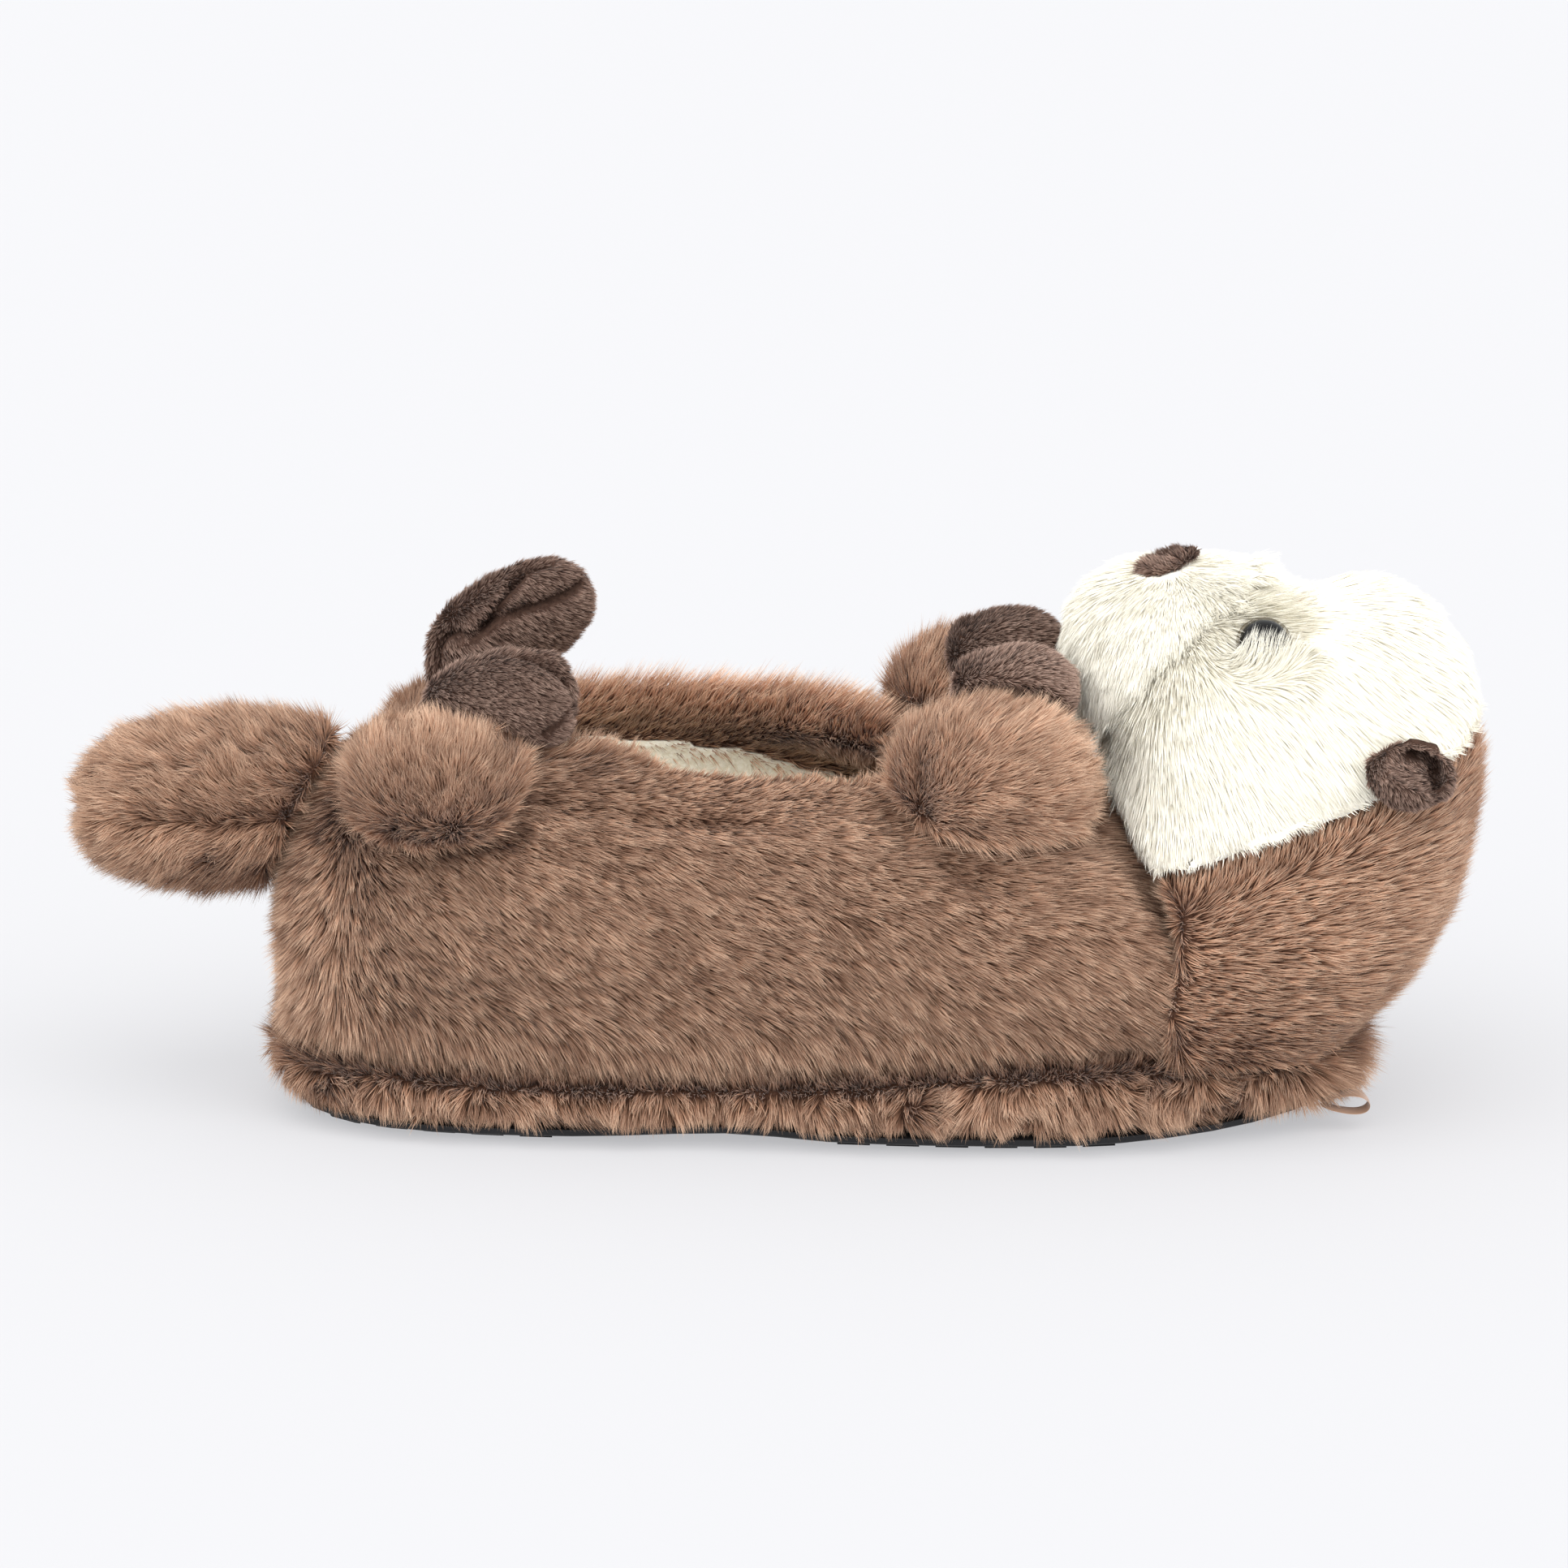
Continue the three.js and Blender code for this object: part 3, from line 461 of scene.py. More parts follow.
creases = [
    [(-57.5, 88.7), (-31.3, 85.7), (-5.0, 85.7)],
    [(24.1, 92.4), (27.2, 81.6)],
    [(30.4, 98.0), (32.3, 86.6)],
    [(37.1, 76.1), (46.3, 72.1), (57.2, 69.7)],
    [(-103.3, 83.7), (-93.4, 79.6), (-82.7, 77.5), (-72.1, 78.5), (-64.2, 79.9)],
]
fold = sum(near_line(at, line, 3.0) for line in creases) * sideways
high = fade(84, 94, at[:, 2])
far_roll = fade(4, 12, at[:, 1]) * high * fade(-70, -55, at[:, 0]) * fade(40, 20, at[:, 0])
near_roll = fade(-4, -12, at[:, 1]) * fade(78, 96, at[:, 2])
near_roll = near_roll * fade(-46, -22, at[:, 0]) * fade(34, 16, at[:, 0])
heel = fade(-95, -122, at[:, 0])
ridges = waves(at * np.array([1.0, 1.0, 0.3]), 9.0, 10)[:, 0] * heel * outer
head_seam = near_line(at, [(96.0, 74.0), (101.0, 45.0), (103.0, 20.0)], 6.0)
set_in = outer * (3.4 - 2.6 * toe_box - 1.8 * far_roll - 1.5 * head_seam)
set_in = set_in + 2.8 * fold * outer - 1.3 * ridges
at = at - out * set_in[:, None]
at[:, 2] -= 5.5 * near_roll
move_to(body, at)
dress(body, brown_backing)

flow = np.array([0.92, 0, -0.36]) + waves(at, 34.0, 5) * 0.3
flow += waves(at, 9.0, 6) * (0.3 + 0.4 * heel)[:, None]
flow += heel[:, None] * np.array([-1.0, 0, -0.7]) + heel[:, None] * waves(at, 5.0, 61)
bottom = fade(36, 25, at[:, 2])
flow += bottom[:, None] * np.array([0, 0, -1.1])
lean = 54 + 10 * waves(at, 10.0, 8)[:, 0] - 20 * far_roll + 8 * near_roll - 10 * bottom - 12 * heel
long = 6.8 + 1.0 * waves(at, 12.0, 7)[:, 0] + 1.6 * bottom + 2.2 * far_roll - 1.5 * near_roll
long = long * (1 - 0.4 * fold) * (1 - 0.4 * near_roll)
edge = edge_at(at)
lined = fade(edge + 1.0, edge - 1.0, at[:, 2]) * inside
upright = inside * fade(edge - 2.0, edge + 1.0, at[:, 2])
flow += upright[:, None] * np.array([-0.3, 0, 1.5]) - (inside - upright)[:, None] * np.array([0, 0, 0.7])
share = (1 - lined) * (1 - toe_box) * fade(-1.0, -0.85, out[:, 2])
# Painted light and shade: the flank is made darkest as it faces the lamps most, the creases darker, and the
# inner wall, the heel and the far roll lighter where less light reaches them.
tint = 0.16 + 0.3 * waves(at, 11.0, 9)[:, 0] + 0.5 * waves(at, 3.2, 62)[:, 0]
tint = tint - 0.3 * fold + 0.8 * inside + 0.55 * heel + 2.2 * far_roll
long_pile = {"wide": 0.325, "tuft": 1.7, "gather": 0.66, "stray": 0.15}
for word, half in (("near", fade(0.5, -0.5, at[:, 1])), ("far", fade(-0.5, 0.5, at[:, 1]))):
    comb(body, leaning(out, flow, lean), long, share * half, tint)
    fur = grow(body, "body_fur_" + word, brown_fur, 140000, seed=5, **long_pile)

lining = bpy.data.objects.new("lining", body.data.copy())
bpy.context.scene.collection.objects.link(lining)
under_roll = fade(edge + 4.0, edge + 2.0, at[:, 2]) * inside
for point in lining.data.vertices:
    point.select = False
for rib in lining.data.edges:
    rib.select = False
for facet in lining.data.polygons:
    facet.select = any(under_roll[i] < 0.5 for i in facet.vertices)
pick(lining)
bpy.ops.object.mode_set(mode="EDIT")
bpy.ops.mesh.delete(type="FACE")
bpy.ops.object.mode_set(mode="OBJECT")
soft = lining.modifiers.new("soft", "SMOOTH")
soft.factor = 0.5
soft.iterations = 8
apply(lining, soft)
thick = lining.modifiers.new("thick", "SOLIDIFY")
thick.thickness = 0.9 * MM
thick.offset = 1.0
apply(lining, thick)
dress(lining, cream_plush)
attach(lining, "root")


# HEAD
# The back of the head: a stuffed form of the same brown fur, sewn over the toe box. Its pile is
# combed up and forward, and lies short and upright along the edge of the face.

crown = skin_of("head", "crown", cell=3.2, soften=4)
at, out = points_of(crown)
head_middle = np.array([115.0, 0, 75])
outer = fade(0.0, 0.35, np.sum(out * unit(at - head_middle), axis=1))
below = 71 + 0.37 * (at[:, 0] - 94) - at[:, 2]
low_front = fade(114, 100, at[:, 0]) * fade(66, 30, at[:, 2])
at = at - out * (outer * (3.6 - 3.0 * low_front))[:, None]
at[:, 0] -= 7.0 * low_front
move_to(crown, at)
dress(crown, brown_backing)
flow = np.array([0.8, 0, 0.3]) + waves(at, 30.0, 11) * 0.3 + waves(at, 9.0, 12) * 0.3
flow += fade(156, 172, at[:, 0])[:, None] * np.array([-0.2, 0, 1.0])
flow += fade(12, 2, below)[:, None] * np.array([-0.5, 0, 0.9])
hem = fade(36, 27, at[:, 2]) * fade(100, 110, at[:, 0])
long = 6.4 + 0.9 * waves(at, 12.0, 14)[:, 0] - 2.0 * fade(9, 2, below) - 2.5 * hem
# Painted light: the head's hairs are made much lighter than the flank's of the same fur; they are darker
# along the low hem.
tint = 1.5 + 0.25 * waves(at, 11.0, 15)[:, 0] + 0.3 * waves(at, 3.2, 65)[:, 0] - 0.5 * hem
way = leaning(out, flow, 54 + 10 * waves(at, 10.0, 13)[:, 0])
comb(crown, way, long, outer * fade(18, 22, at[:, 2]), tint)
crown_fur = grow(crown, "crown_fur", brown_fur, 97000, seed=13, **long_pile)


# FACE
# One panel of softer cream fur sewn over the top of the stuffed head, with a shallow trough on
# each side of the forehead. Its pile runs out from the snout and hangs a little over the brown.

cream_fur = pile(
    "cream_fur",
    dark=[(246, 241, 226), (247, 243, 230), (248, 244, 232)],
    light=[(248, 243, 229), (249, 245, 233), (250, 247, 237)],
    sheen=0.1,
)
cream_backing = backing("cream_backing", (250, 246, 234), (252, 249, 240))
face = skin_of("face", "face_panel", cell=2.8, soften=3)
at, out = points_of(face)
outer = fade(0.0, 0.35, np.sum(out * unit(at - head_middle), axis=1))
trough_line = [(127.1, 131.8), (136.3, 127.6), (145.9, 123.1), (151.6, 118.6), (158.6, 109.0)]
trough = near_line(at, trough_line, 5.0) * fade(0.15, 0.5, np.abs(out[:, 1]))
top = fade(118, 134, at[:, 2])
join_line = [(122.0, 137.0), (106.0, 134.0), (97.8, 126.5), (90.4, 117.6), (79.5, 106.4)]
joined = near_line(at, join_line, 6.0) * fade(0.1, 0.4, np.abs(out[:, 1]))
at = at - out * (outer * (2.6 + 1.6 * trough + 1.4 * top - 2.0 * joined))[:, None]
at[:, 2] -= 4.5 * np.exp(-(((at[:, 0] - 127) / 8.5) ** 2)) * top
move_to(face, at)
dress(face, cream_backing)
flow = unit(at - np.array([92.0, 0, 128])) + np.array([0.15, 0, -0.3])
flow += waves(at, 24.0, 21) * 0.35 + waves(at, 8.0, 22) * 0.2
above = at[:, 2] - np.interp(at[:, 0], (90, 104, 116, 126, 139, 160), (71, 76, 83, 87, 92, 102))
long = 6.2 + 0.8 * waves(at, 12.0, 24)[:, 0] - 2.8 * fade(8, 1, above)
growing = outer
lean = 72 + 4 * waves(at, 10.0, 23)[:, 0] - 16 * joined
long = long + 2.0 * joined
eye_x, eye_y, eye_z = 116.2, 34.5, 126.0
for side in (-1, 1):
    apart = at - np.array([eye_x, eye_y * side, eye_z])
    far = np.linalg.norm(apart, axis=1)
    under = fade(-2.5, -6.0, apart[:, 2]) * fade(17, 6, far)
    flow = flow * (1 - under[:, None]) + under[:, None] * np.array([0.15, 0, 1.0])
    lean = lean * (1 - under) + 34 * under
    long = long + 2.0 * under
    growing = growing * fade(4.8, 5.8, far) * (1 + under)
comb(face, leaning(out, flow, lean), long, growing, 0.5 + 0.4 * waves(at, 12.0, 25)[:, 0])
fine_pile = {"tuft": 2.4, "gather": 0.03, "stray": 0.07, "crisp": 0.05}
face_fur = grow(face, "face_fur", cream_fur, 74000, wide=0.35, seed=15, **fine_pile)


# SNOUT AND NOSE
# A stuffed ball of the cream fur, sewn on the face and hanging over it a little. The nose is a
# small oval patch of dark plush, flush with the fur on top of it.

snout = skin_of("muzzle", "snout", cell=2.2, soften=4)
at, out = points_of(snout)
snout_middle = np.array([97.5, 0, 114.5])
outer = fade(0.0, 0.3, np.sum(out * unit(at - snout_middle), axis=1))
joined = near_line(at, join_line, 6.0) * fade(0.1, 0.4, np.abs(out[:, 1]))
at = at - out * (outer * (2.5 - 1.5 * joined))[:, None]
at[:, 0] += 8 * fade(98, 113, at[:, 0])
move_to(snout, at)
dress(snout, cream_backing)
dark_backing = backing("dark_backing", (54, 38, 31), (74, 55, 46))
# Painted shade and light: the nap runs from dark roots to light tips.
dark_plush = pile(
    "dark_plush",
    dark=[(50, 34, 27), (80, 59, 50), (118, 92, 80)],
    light=[(68, 49, 41), (134, 107, 94), (206, 178, 161)],
    sheen=0.15,
)
nose = skin_of("nose", "nose_patch", cell=1.0, soften=3)
patch, patch_out = points_of(nose)
patch[:, 0] = 95.4 + (patch[:, 0] - 94) * 0.88
patch[:, 1] *= 0.85 - 0.02 * (patch[:, 0] - 88)
patch[:, 1] -= 0.35 * (95.4 - patch[:, 0])
patch[:, 1] -= 2.8
patch[:, 2] -= 2.5 - 0.16 * (patch[:, 0] - 95)
move_to(nose, patch)
dress(nose, dark_backing)
comb(nose, leaning(patch_out, waves(patch, 8.0, 31) + np.array([-0.6, 0, 0]), 40), 2.3)
laid = {"wide": 0.4, "tuft": 2.2, "gather": 0.4, "stray": 0.25}
nose_nap = grow(nose, "nose_nap", dark_plush, 4000, seed=19, **laid)
flow = unit(at - np.array([92.0, 0, 141])) + np.array([-0.1, 0, -0.3])
flow += waves(at, 20.0, 26) * 0.3 + waves(at, 7.0, 27) * 0.2
under_nose = np.min(np.linalg.norm(at[:, None] - patch[None], axis=2), axis=1)
growing = outer * fade(1.4, 2.8, under_nose)
long = 6.0 + 0.8 * waves(at, 12.0, 29)[:, 0]
way = leaning(out, flow, 72 + 4 * waves(at, 9.0, 28)[:, 0] - 12 * joined)
comb(snout, way, long, growing, 0.5 + 0.4 * waves(at, 12.0, 30)[:, 0])
snout_fur = grow(snout, "snout_fur", cream_fur, 52000, wide=0.34, seed=17, **fine_pile)


# EYES
# Each eye is a moulded black dome with a narrow olive-brown rim, fixed through the face panel.
# The cream fur stands up over its lower half.

gloss, shader = finish_of("eye_gloss", roughness=0.08, specular=0.15)
place = add(gloss, "TexCoord")
cloud = add(gloss, "TexNoise", Scale=300.0, Detail=2.0)
join(gloss, place.outputs["Object"], cloud.inputs["Vector"])
tones = [(0.3, (4, 4, 5)), (0.7, (9, 8, 8))]
join(gloss, ramp(gloss, cloud.outputs["Fac"], tones), shader.inputs["Base Color"])
shader.inputs["Coat Weight"].default_value = 0.15
shader.inputs["Coat Roughness"].default_value = 0.03
rim_paint, shader = finish_of("eye_rim", roughness=0.35)
place = add(rim_paint, "TexCoord")
cloud = add(rim_paint, "TexNoise", Scale=600.0, Detail=2.0)
join(rim_paint, place.outputs["Object"], cloud.inputs["Vector"])
tones = [(0.3, (66, 58, 42)), (0.7, (96, 86, 64))]
join(rim_paint, ramp(rim_paint, cloud.outputs["Fac"], tones), shader.inputs["Base Color"])

eye_radius = 6.0
for word, side in (("near", -1), ("far", 1)):
    look = Vector((-0.05, 0.75 * side, 0.66)).normalized()
    turn = look.to_track_quat("Z", "Y").to_matrix().to_4x4()
    seat = Matrix.Translation(Vector((eye_x, eye_y * side, eye_z)) * MM - look * 2.6 * MM)
    bpy.ops.object.select_all(action="DESELECT")
    bpy.ops.mesh.primitive_uv_sphere_add(segments=36, ring_count=24, radius=eye_radius * MM)
    dome = bpy.context.object
    dome.name = "eye_dome_" + word
    bpy.ops.object.mode_set(mode="EDIT")
    bpy.ops.mesh.select_all(action="SELECT")
    bpy.ops.transform.resize(value=(1, 1, 0.78))
    bpy.ops.mesh.bisect(plane_co=(0, 0, -2.4 * MM), plane_no=(0, 0, 1), use_fill=True, clear_inner=True)
    bpy.ops.object.mode_set(mode="OBJECT")
    bpy.ops.object.shade_smooth_by_angle(angle=math.radians(50))
    dome.data.transform(seat @ turn)
    dress(dome, gloss)
    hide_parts("eye_" + word)
    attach(dome, "root")
    bpy.ops.object.select_all(action="DESELECT")
    rings = {"major_segments": 44, "minor_segments": 12}
    bpy.ops.mesh.primitive_torus_add(major_radius=eye_radius * MM, minor_radius=0.8 * MM, **rings)
    rim = bpy.context.object
    rim.name = "eye_rim_" + word
    bpy.ops.object.mode_set(mode="EDIT")
    bpy.ops.mesh.select_all(action="SELECT")
    bpy.ops.transform.resize(value=(1, 1, 1.5))
    bpy.ops.object.mode_set(mode="OBJECT")
    bpy.ops.object.shade_smooth()
    rim.data.transform(seat @ turn)
    dress(rim, rim_paint)
    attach(rim, "root")


# EARS
# Each ear is a small cup of dark short-nap plush, folded over and sewn in at the seam of the face.

short_nap = {"wide": 0.3, "tuft": 1.3, "gather": 0.6}
for word, side in (("near", -1), ("far", 1)):
    ear = skin_of("ear_" + word, "ear_cup_" + word, cell=1.1, soften=3)
    at, out = points_of(ear)
    at[:, 0] -= 1.0
    at[:, 2] = 97.0 + (at[:, 2] - 97.0) * 0.82
    outward = fade(0.0, 0.5, out[:, 1] * side)
    hollow = near_line(at, [(149.9, 101.6), (154.2, 100.4), (155.2, 96.2), (154.6, 92.8)], 1.3)
    lip = near_line(at, [(146.6, 103.9), (152.2, 104.3), (156.7, 102.3), (158.5, 98.3), (158.5, 93.2)], 2.0)
    lobe = fade(9.0, 4.5, np.hypot(at[:, 0] - 147.5, at[:, 2] - 94.0)) * outward
    at = at - out * (1.2 + 4.0 * hollow * outward - 1.0 * lip)[:, None]
    at[:, 1] += side * 4.0 * lobe
    move_to(ear, at)
    dress(ear, dark_backing)
    flow = np.array([0.6, 0, -0.4]) + waves(at, 9.0, 33) * 0.6
    # Painted shade and light: the nap is darker in the hollow and lighter along the lip.
    comb(ear, leaning(out, flow, 50), 1.9 * (1 - 0.4 * hollow), 1.0, 0.5 - 0.8 * hollow + 0.4 * lip)
    nap = grow(ear, "ear_nap_" + word, dark_plush, 9500, stray=0.15, seed=21, **short_nap)


# ARMS AND PAWS
# Each arm is a stuffed stump of brown fur sewn on the chest, with a paw of dark short-nap plush
# at its end. A crease runs down beside the arm, and the paw has a seam over its top.

stuffed_pile = {"wide": 0.31, "tuft": 1.7, "gather": 0.6}
armpit_line = [(31.0, 100.0), (31.5, 92.0), (33.0, 84.0)]
# Painted light: the near paw's nap is made much lighter than the far paw's.
for word, side, paw_tone_and_painted_light in (("near", -1, 2.6), ("far", 1, 0.7)):
    arm = skin_of("arm_" + word, "arm_stump_" + word, cell=2.3, soften=4)
    at, out = points_of(arm)
    fold = near_line(at, armpit_line, 2.6) * fade(0.2, 0.6, out[:, 1] * side)
    at = at - out * (3.0 + 2.2 * fold)[:, None]
    if side == 1:
        at[:, 0] = 76 - (76 - at[:, 0]) * 0.98
    else:
        at[:, 0] = 25 + (at[:, 0] - 25) * 0.965
        at[:, 2] = 76 + (at[:, 2] - 76) * 0.94
    move_to(arm, at)
    dress(arm, brown_backing)
    flow = unit((at - np.array([20.0, 0, 74])) * np.array([1, 0, 1])) + waves(at, 18.0, 35 + side) * 0.4
    flow += waves(at, 6.0, 37 + side) * 0.6
    long = (6.6 + 1.0 * waves(at, 10.0, 40)[:, 0]) * (1 - 0.3 * fold)
    # Painted light and shade: the arm's hairs are made lighter than the flank's, and darker in the crease
    # beside it.
    tint = 1.15 - 1.2 * fold + 0.25 * waves(at, 10.0, 41)[:, 0] + 0.3 * waves(at, 3.0, 63)[:, 0]
    comb(arm, leaning(out, flow, 48 + 12 * waves(at, 9.0, 39)[:, 0]), long, 1.0, tint)
    arm_fur = grow(arm, "arm_fur_" + word, brown_fur, 30000, stray=0.24, seed=23 + side, **stuffed_pile)
    paw = skin_of("paw_" + word, "paw_pad_" + word, cell=1.7, soften=3)
    at, out = points_of(paw)
    seam = near_line(at, [(47.0, 119.5), (49.5, 120.9), (56.6, 122.7), (64.7, 121.9), (71.0, 119.0)], 1.6)
    at = at - out * (0.9 + 1.6 * seam)[:, None]
    move_to(paw, at)
    dress(paw, dark_backing)
    flow = np.array([0.8, 0, -0.1]) + waves(at, 12.0, 42) * 0.45
    # Painted shade: the nap is darker along the seam over the paw.
    tint = paw_tone_and_painted_light + 0.4 * waves(at, 5.0, 43)[:, 0] - 0.4 * seam
    comb(paw, leaning(out, flow, 52), 2.3, 1.0, tint)
    nap = grow(paw, "paw_nap_" + word, dark_plush, 15000, stray=0.16, seed=27 + side, **short_nap)


# HAUNCHES AND HIND FEET
# Each haunch is a soft bulge of brown fur beside the collar. A flat foot of dark plush stands up
# from it, with stitched toes and a hollow arch on its inner side, and a groove that sets off a
# raised edge round its outer side.

toe_lines = [
    [(-74.8, 117.1), (-69.3, 125.5), (-65.3, 130.3), (-63.2, 132.1), (-58.5, 133.3)],
    [(-47.5, 128.4), (-51.7, 125.8), (-55.8, 123.9), (-59.8, 122.3), (-64.6, 121.1), (-70.0, 119.2),
     (-75.4, 115.7)],
    [(-75.4, 115.7), (-77.5, 113.9), (-86.3, 114.1), (-88.0, 109.4), (-87.6, 103.8)],
]
arch_line = [(-84.0, 117.5), (-78.2, 121.3), (-73.4, 126.9)]
edge_line = [(-68.2, 123.3), (-63.7, 123.3), (-59.8, 122.4), (-55.9, 120.6), (-52.7, 118.6), (-50.1, 116.1)]
edge_line += [(-48.6, 112.4), (-48.4, 109.1), (-50.7, 106.4), (-54.6, 103.8), (-57.2, 102.1)]


def raised(line, rise):
    """The same line on the side view, some millimetres higher."""
    return [(x, z + rise) for x, z in line]


for word, side, toes_rise, edge_rise in (("near", -1, -10, 0), ("far", 1, 0, 7)):
    haunch = skin_of("haunch_" + word, "haunch_ball_" + word, cell=2.3, soften=4)
    at, out = points_of(haunch)
    at = at - out * 3.0
    if side == 1:
        at[:, 2] -= 10 * fade(84, 106, at[:, 2])
        at[:, 0] += 5 * fade(-84, -104, at[:, 0])
    move_to(haunch, at)
    dress(haunch, brown_backing)
    flow = unit((at - np.array([-88.0, 0, 42])) * np.array([1, 0, 1]))
    flow += waves(at, 18.0, 45 + side) * 0.6 + waves(at, 6.0, 47 + side) * 0.8
    long = 6.6 + 1.0 * waves(at, 10.0, 50)[:, 0]
    tint = 0.7 + 0.25 * waves(at, 10.0, 51)[:, 0] + 0.3 * waves(at, 3.0, 64)[:, 0]
    comb(haunch, leaning(out, flow, 50 + 12 * waves(at, 9.0, 49)[:, 0]), long, 1.0, tint)
    laid = {"stray": 0.26, "seed": 33 + side, **stuffed_pile}
    haunch_fur = grow(haunch, "haunch_fur_" + word, brown_fur, 26000, **laid)
    foot = skin_of("hind_foot_" + word, "foot_pad_" + word, cell=1.4, soften=3)
    at, out = points_of(foot)
    inner = fade(0.1, -0.5, out[:, 1] * side)
    outer = fade(-0.1, 0.5, out[:, 1] * side)
    if side == 1:
        at[:, 0] -= 0.8 * fade(-75, -55, at[:, 0])
        at[:, 2] -= 1.4 + 8 * fade(-68, -86, at[:, 0]) * fade(120, 104, at[:, 2])
    else:
        at[:, 0] -= 2.6 * fade(-68, -46, at[:, 0])
        at[:, 2] -= 1.6 + 5.5 * fade(-62, -50, at[:, 0]) * fade(114, 102, at[:, 2])
    toes = sum(near_line(at, raised(line, toes_rise), 1.3) for line in toe_lines) * inner
    hollow = near_line(at, raised(arch_line, toes_rise), 3.8) * inner
    groove = near_line(at, raised(edge_line, edge_rise), 1.1) * outer
    around = fade(0.75, 0.35, np.abs(out[:, 1]))
    at = at - out * (1.3 + 3.8 * toes + 2.8 * hollow + 3.4 * groove)[:, None]
    seams = np.minimum(toes + groove, 1)
    move_to(foot, at)
    dress(foot, dark_backing)
    flow = np.array([0.7, 0, -0.35]) + waves(at, 14.0, 52) * 0.4
    # Painted shade and light: the nap is darker along the stitched toe lines and the groove, and lighter
    # where the foot does not face sideways.
    tint = 0.1 + 0.3 * waves(at, 5.0, 53)[:, 0] + 0.35 * waves(at, 2.0, 67)[:, 0]
    tint = tint - 1.6 * seams + 0.6 * around
    comb(foot, leaning(out, flow, 56), 2.3 * (1 - 0.7 * seams), 1.0, tint)
    nap = grow(foot, "foot_nap_" + word, dark_plush, 24000, stray=0.16, seed=37 + side, **short_nap)


# TAIL
# A stuffed paddle of brown fur with a seam along each side, sewn on behind the heel.

tail = skin_of("tail", "tail_paddle", cell=2.5, soften=5)
at, out = points_of(tail)
seam_height = 77
seam = np.exp(-(((at[:, 2] - seam_height) / 2.8) ** 2))
seam = seam * fade(0.5, 0.9, np.abs(out[:, 1]) + np.maximum(-out[:, 0], 0)) * fade(-168, -158, at[:, 0])
at = at - out * (3.2 + 1.6 * seam)[:, None]
at[:, 0] -= 1.0 * fade(-156, -168, at[:, 0])
move_to(tail, at)
dress(tail, brown_backing)
over_seam = at[:, 2] - seam_height
apart = np.sign(over_seam) * np.exp(-((over_seam / 8) ** 2))
flow = np.array([-0.8, 0, 0.1]) + waves(at, 22.0, 55) * 0.5 + waves(at, 6.0, 56) * 0.9
flow[:, 2] += apart * 0.5
long = 6.6 + 1.0 * waves(at, 10.0, 58)[:, 0] - 2.0 * seam
# Painted shade: the hairs are darker along the seams.
tint = 0.45 + 0.25 * waves(at, 10.0, 59)[:, 0] + 0.3 * waves(at, 3.0, 66)[:, 0] - 0.2 * seam
comb(tail, leaning(out, flow, 50 + 12 * waves(at, 9.0, 57)[:, 0]), long, 1.0, tint)
tail_fur = grow(tail, "tail_fur", brown_fur, 48000, stray=0.26, seed=41, **stuffed_pile)


# RIBBON LOOP
# A short satin ribbon doubled into a hanging loop, its two ends sewn in between the outsole and
# the midsole at the toe.

satin, shader = finish_of("satin", roughness=0.32, sheen=0.3, sheen_roughness=0.3, specular=0.7)
place = add(satin, "TexCoord")
weave = add(satin, "TexWave", Scale=900.0, Distortion=0.4, Detail=1.0)
weave.bands_direction = "Y"
join(satin, place.outputs["Object"], weave.inputs["Vector"])
tones = [(0.0, (150, 116, 94)), (1.0, (184, 148, 122))]
join(satin, ramp(satin, weave.outputs["Fac"], tones), shader.inputs["Base Color"])
shader.inputs["Anisotropic"].default_value = 0.5
bump = add(satin, "Bump", Strength=0.4, Distance=0.0001)
join(satin, weave.outputs["Fac"], bump.inputs["Height"])
join(satin, bump.outputs["Normal"], shader.inputs["Normal"])

low, high = (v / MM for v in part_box("ribbon_loop"))
middle = (low.y + high.y) / 2
x, z = low.x, (low.z + high.z) / 2
ribbon_width, ribbon_thickness = 6.4, 0.45
route = [(0, 0.5), (4.5, 2.0), (8.5, 2.4), (11.3, 1.7), (12.8, 0.1)]
route += [(12.3, -1.6), (10.3, -2.5), (6.5, -2.4), (0, -0.6)]
bpy.ops.object.select_all(action="DESELECT")
bpy.ops.mesh.primitive_plane_add(size=1)
loop = bpy.context.object
loop.name = "satin_loop"
bpy.ops.object.mode_set(mode="EDIT")
bpy.ops.mesh.select_all(action="SELECT")
bpy.ops.mesh.delete(type="ONLY_FACE")
bpy.ops.object.mode_set(mode="OBJECT")
for point in loop.data.vertices:
    point.select = point.co.x > 0
for rib in loop.data.edges:
    rib.select = False
bpy.ops.object.mode_set(mode="EDIT")
bpy.ops.mesh.delete(type="VERT")
bpy.ops.mesh.select_all(action="SELECT")
bpy.ops.transform.translate(value=(0.5, 0, 0))
bpy.ops.transform.resize(value=(1, ribbon_width * MM, 1))
bpy.ops.transform.translate(value=((x + route[0][0]) * MM, middle * MM, (z + route[0][1]) * MM))
for before, after in zip(route, route[1:]):
    step = Vector((after[0] - before[0], 0, after[1] - before[1])) * MM
    bpy.ops.mesh.extrude_edges_move(TRANSFORM_OT_translate={"value": step})
bpy.ops.object.mode_set(mode="OBJECT")
thick = loop.modifiers.new("thick", "SOLIDIFY")
thick.thickness = ribbon_thickness * MM
thick.offset = 0.0
apply(loop, thick)
smooth = loop.modifiers.new("smooth", "SUBSURF")
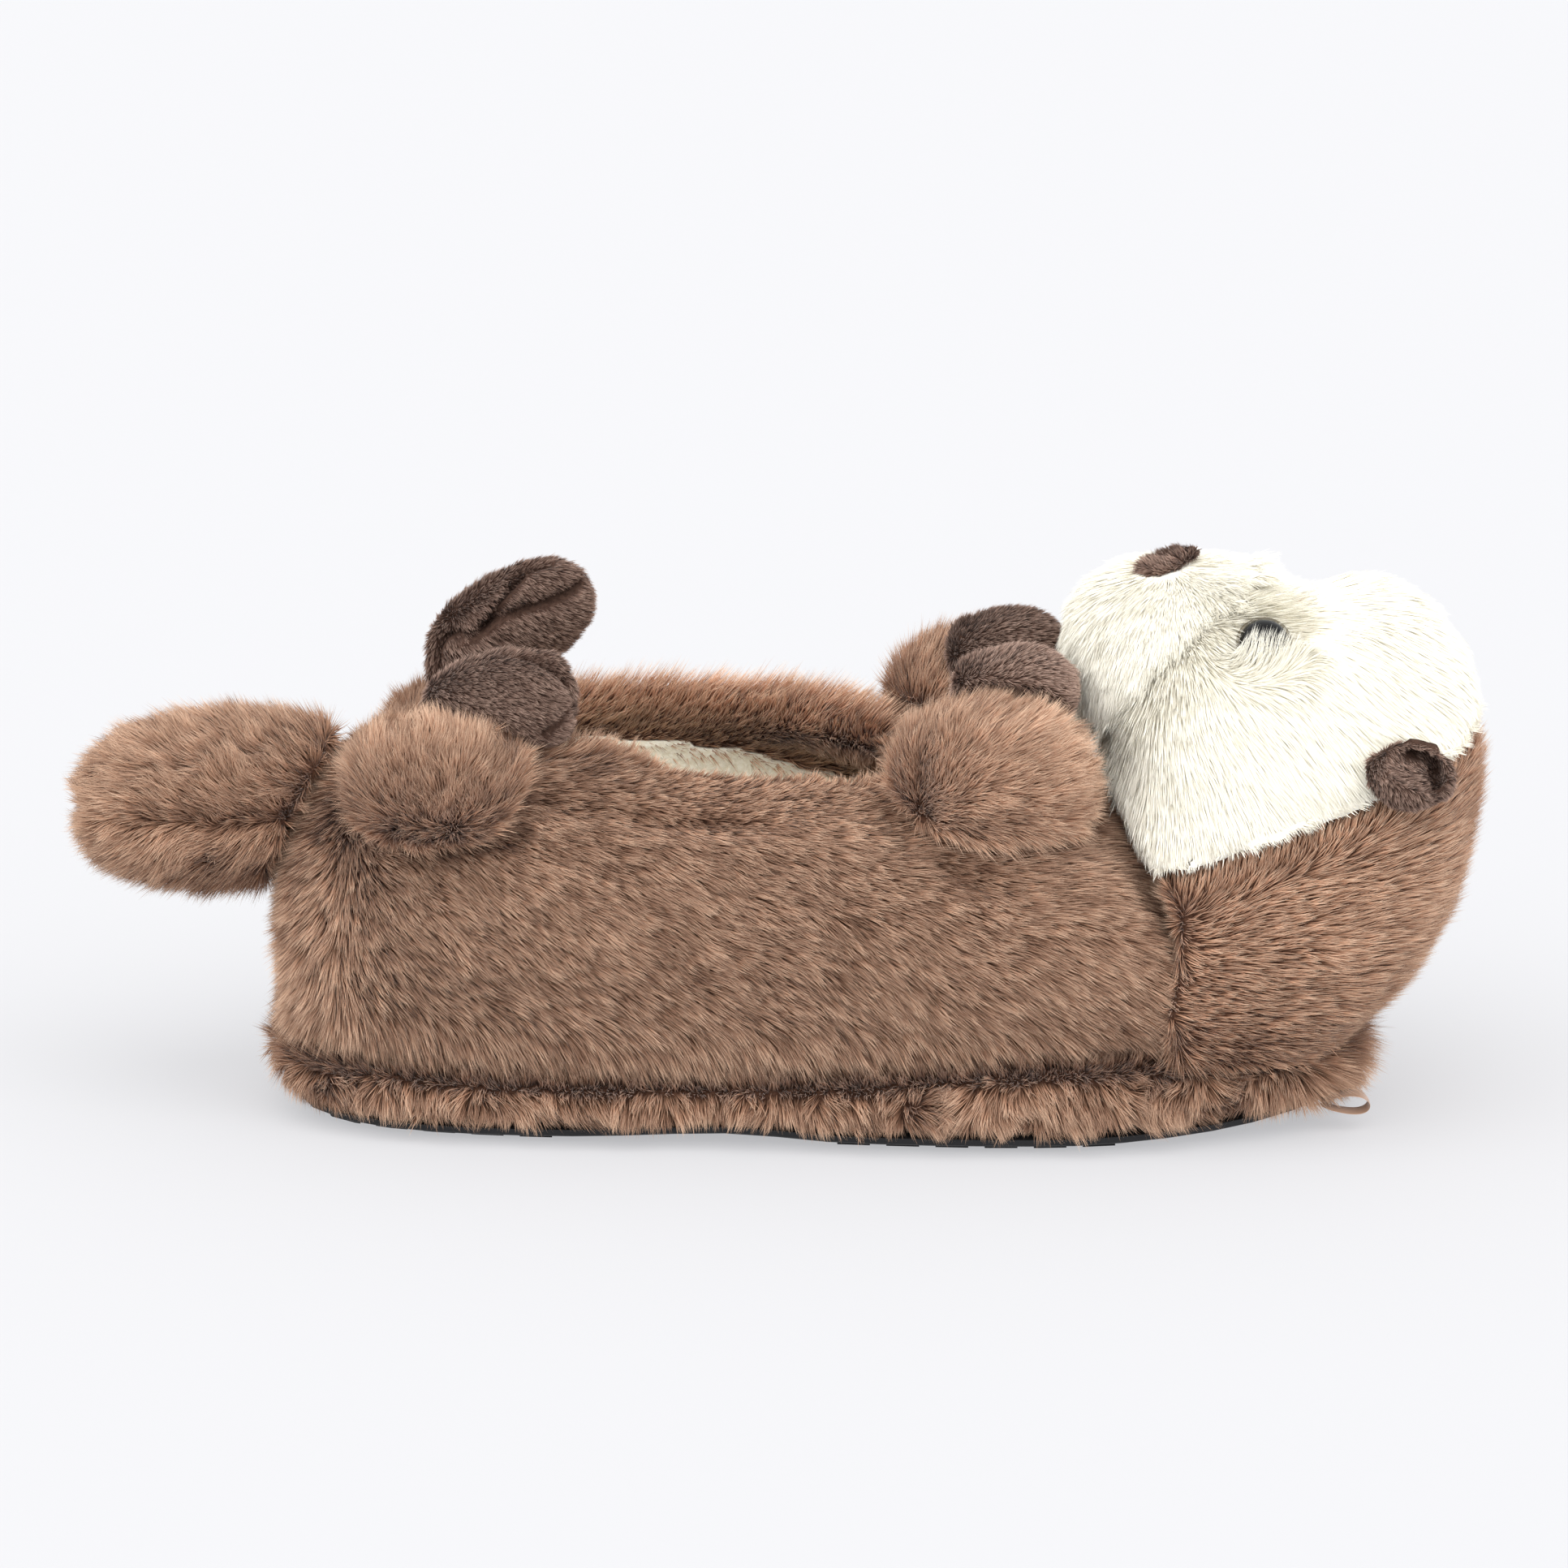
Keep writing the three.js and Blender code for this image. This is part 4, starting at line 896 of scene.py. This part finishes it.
smooth.levels = smooth.render_levels = 3
apply(loop, smooth)
bpy.ops.object.shade_smooth()
dress(loop, satin)
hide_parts("ribbon_loop")
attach(loop, "root")


# CAMERA, FLOOR AND LIGHTS
# The photo was taken from the near side, a little from above, with a long lens, on seamless
# pale paper, under large soft lights above and beside the camera.

target = Vector((1.0, 0, 81.2)) * MM
rise = math.radians(14)
away = 1.298
lens = bpy.data.cameras.new("camera")
lens.lens = 120
lens.sensor_width = 36
lens.clip_end = 60
camera = bpy.data.objects.new("camera", lens)
bpy.context.scene.collection.objects.link(camera)
camera.location = target + Vector((0, -math.cos(rise), math.sin(rise))) * away
camera.rotation_euler = (math.pi / 2 - rise, 0, 0)
bpy.context.scene.camera = camera

bpy.ops.object.select_all(action="DESELECT")
bpy.ops.mesh.primitive_plane_add(size=80)
floor = bpy.context.object
floor.name = "floor"
paper, shader = finish_of("paper", roughness=1.0, specular=0.0)
# The paper also glows, as painted light that lifts the shadows on it and lights the slipper from below.
shader.inputs["Base Color"].default_value = (0.26, 0.26, 0.264, 1)
shader.inputs["Emission Color"].default_value = (0.97, 0.97, 1.0, 1)
shader.inputs["Emission Strength"].default_value = 0.47
dress(floor, paper)

world = bpy.data.worlds.new("studio")
bpy.context.scene.world = world
world.use_nodes = True
world.node_tree.nodes["Background"].inputs["Color"].default_value = (0.98, 0.99, 1.0, 1)
world.node_tree.nodes["Background"].inputs["Strength"].default_value = 1.1


def soft_sun(name, place, power, spread):
    """A large even light from one side, in degrees across."""
    lamp = bpy.data.lights.new(name, "SUN")
    lamp.energy = power
    lamp.angle = math.radians(spread)
    made = bpy.data.objects.new(name, lamp)
    bpy.context.scene.collection.objects.link(made)
    made.rotation_euler = Vector(place).to_track_quat("Z", "Y").to_euler()


soft_sun("top", (0.05, -0.65, 1.0), power=1.9, spread=60)
soft_sun("left", (-1.0, -0.5, 0.5), power=1.1, spread=60)
soft_sun("right", (1.0, -0.5, 0.4), power=1.3, spread=60)
bpy.context.scene.view_settings.view_transform = "Standard"

bpy.data.objects.remove(one_hair)
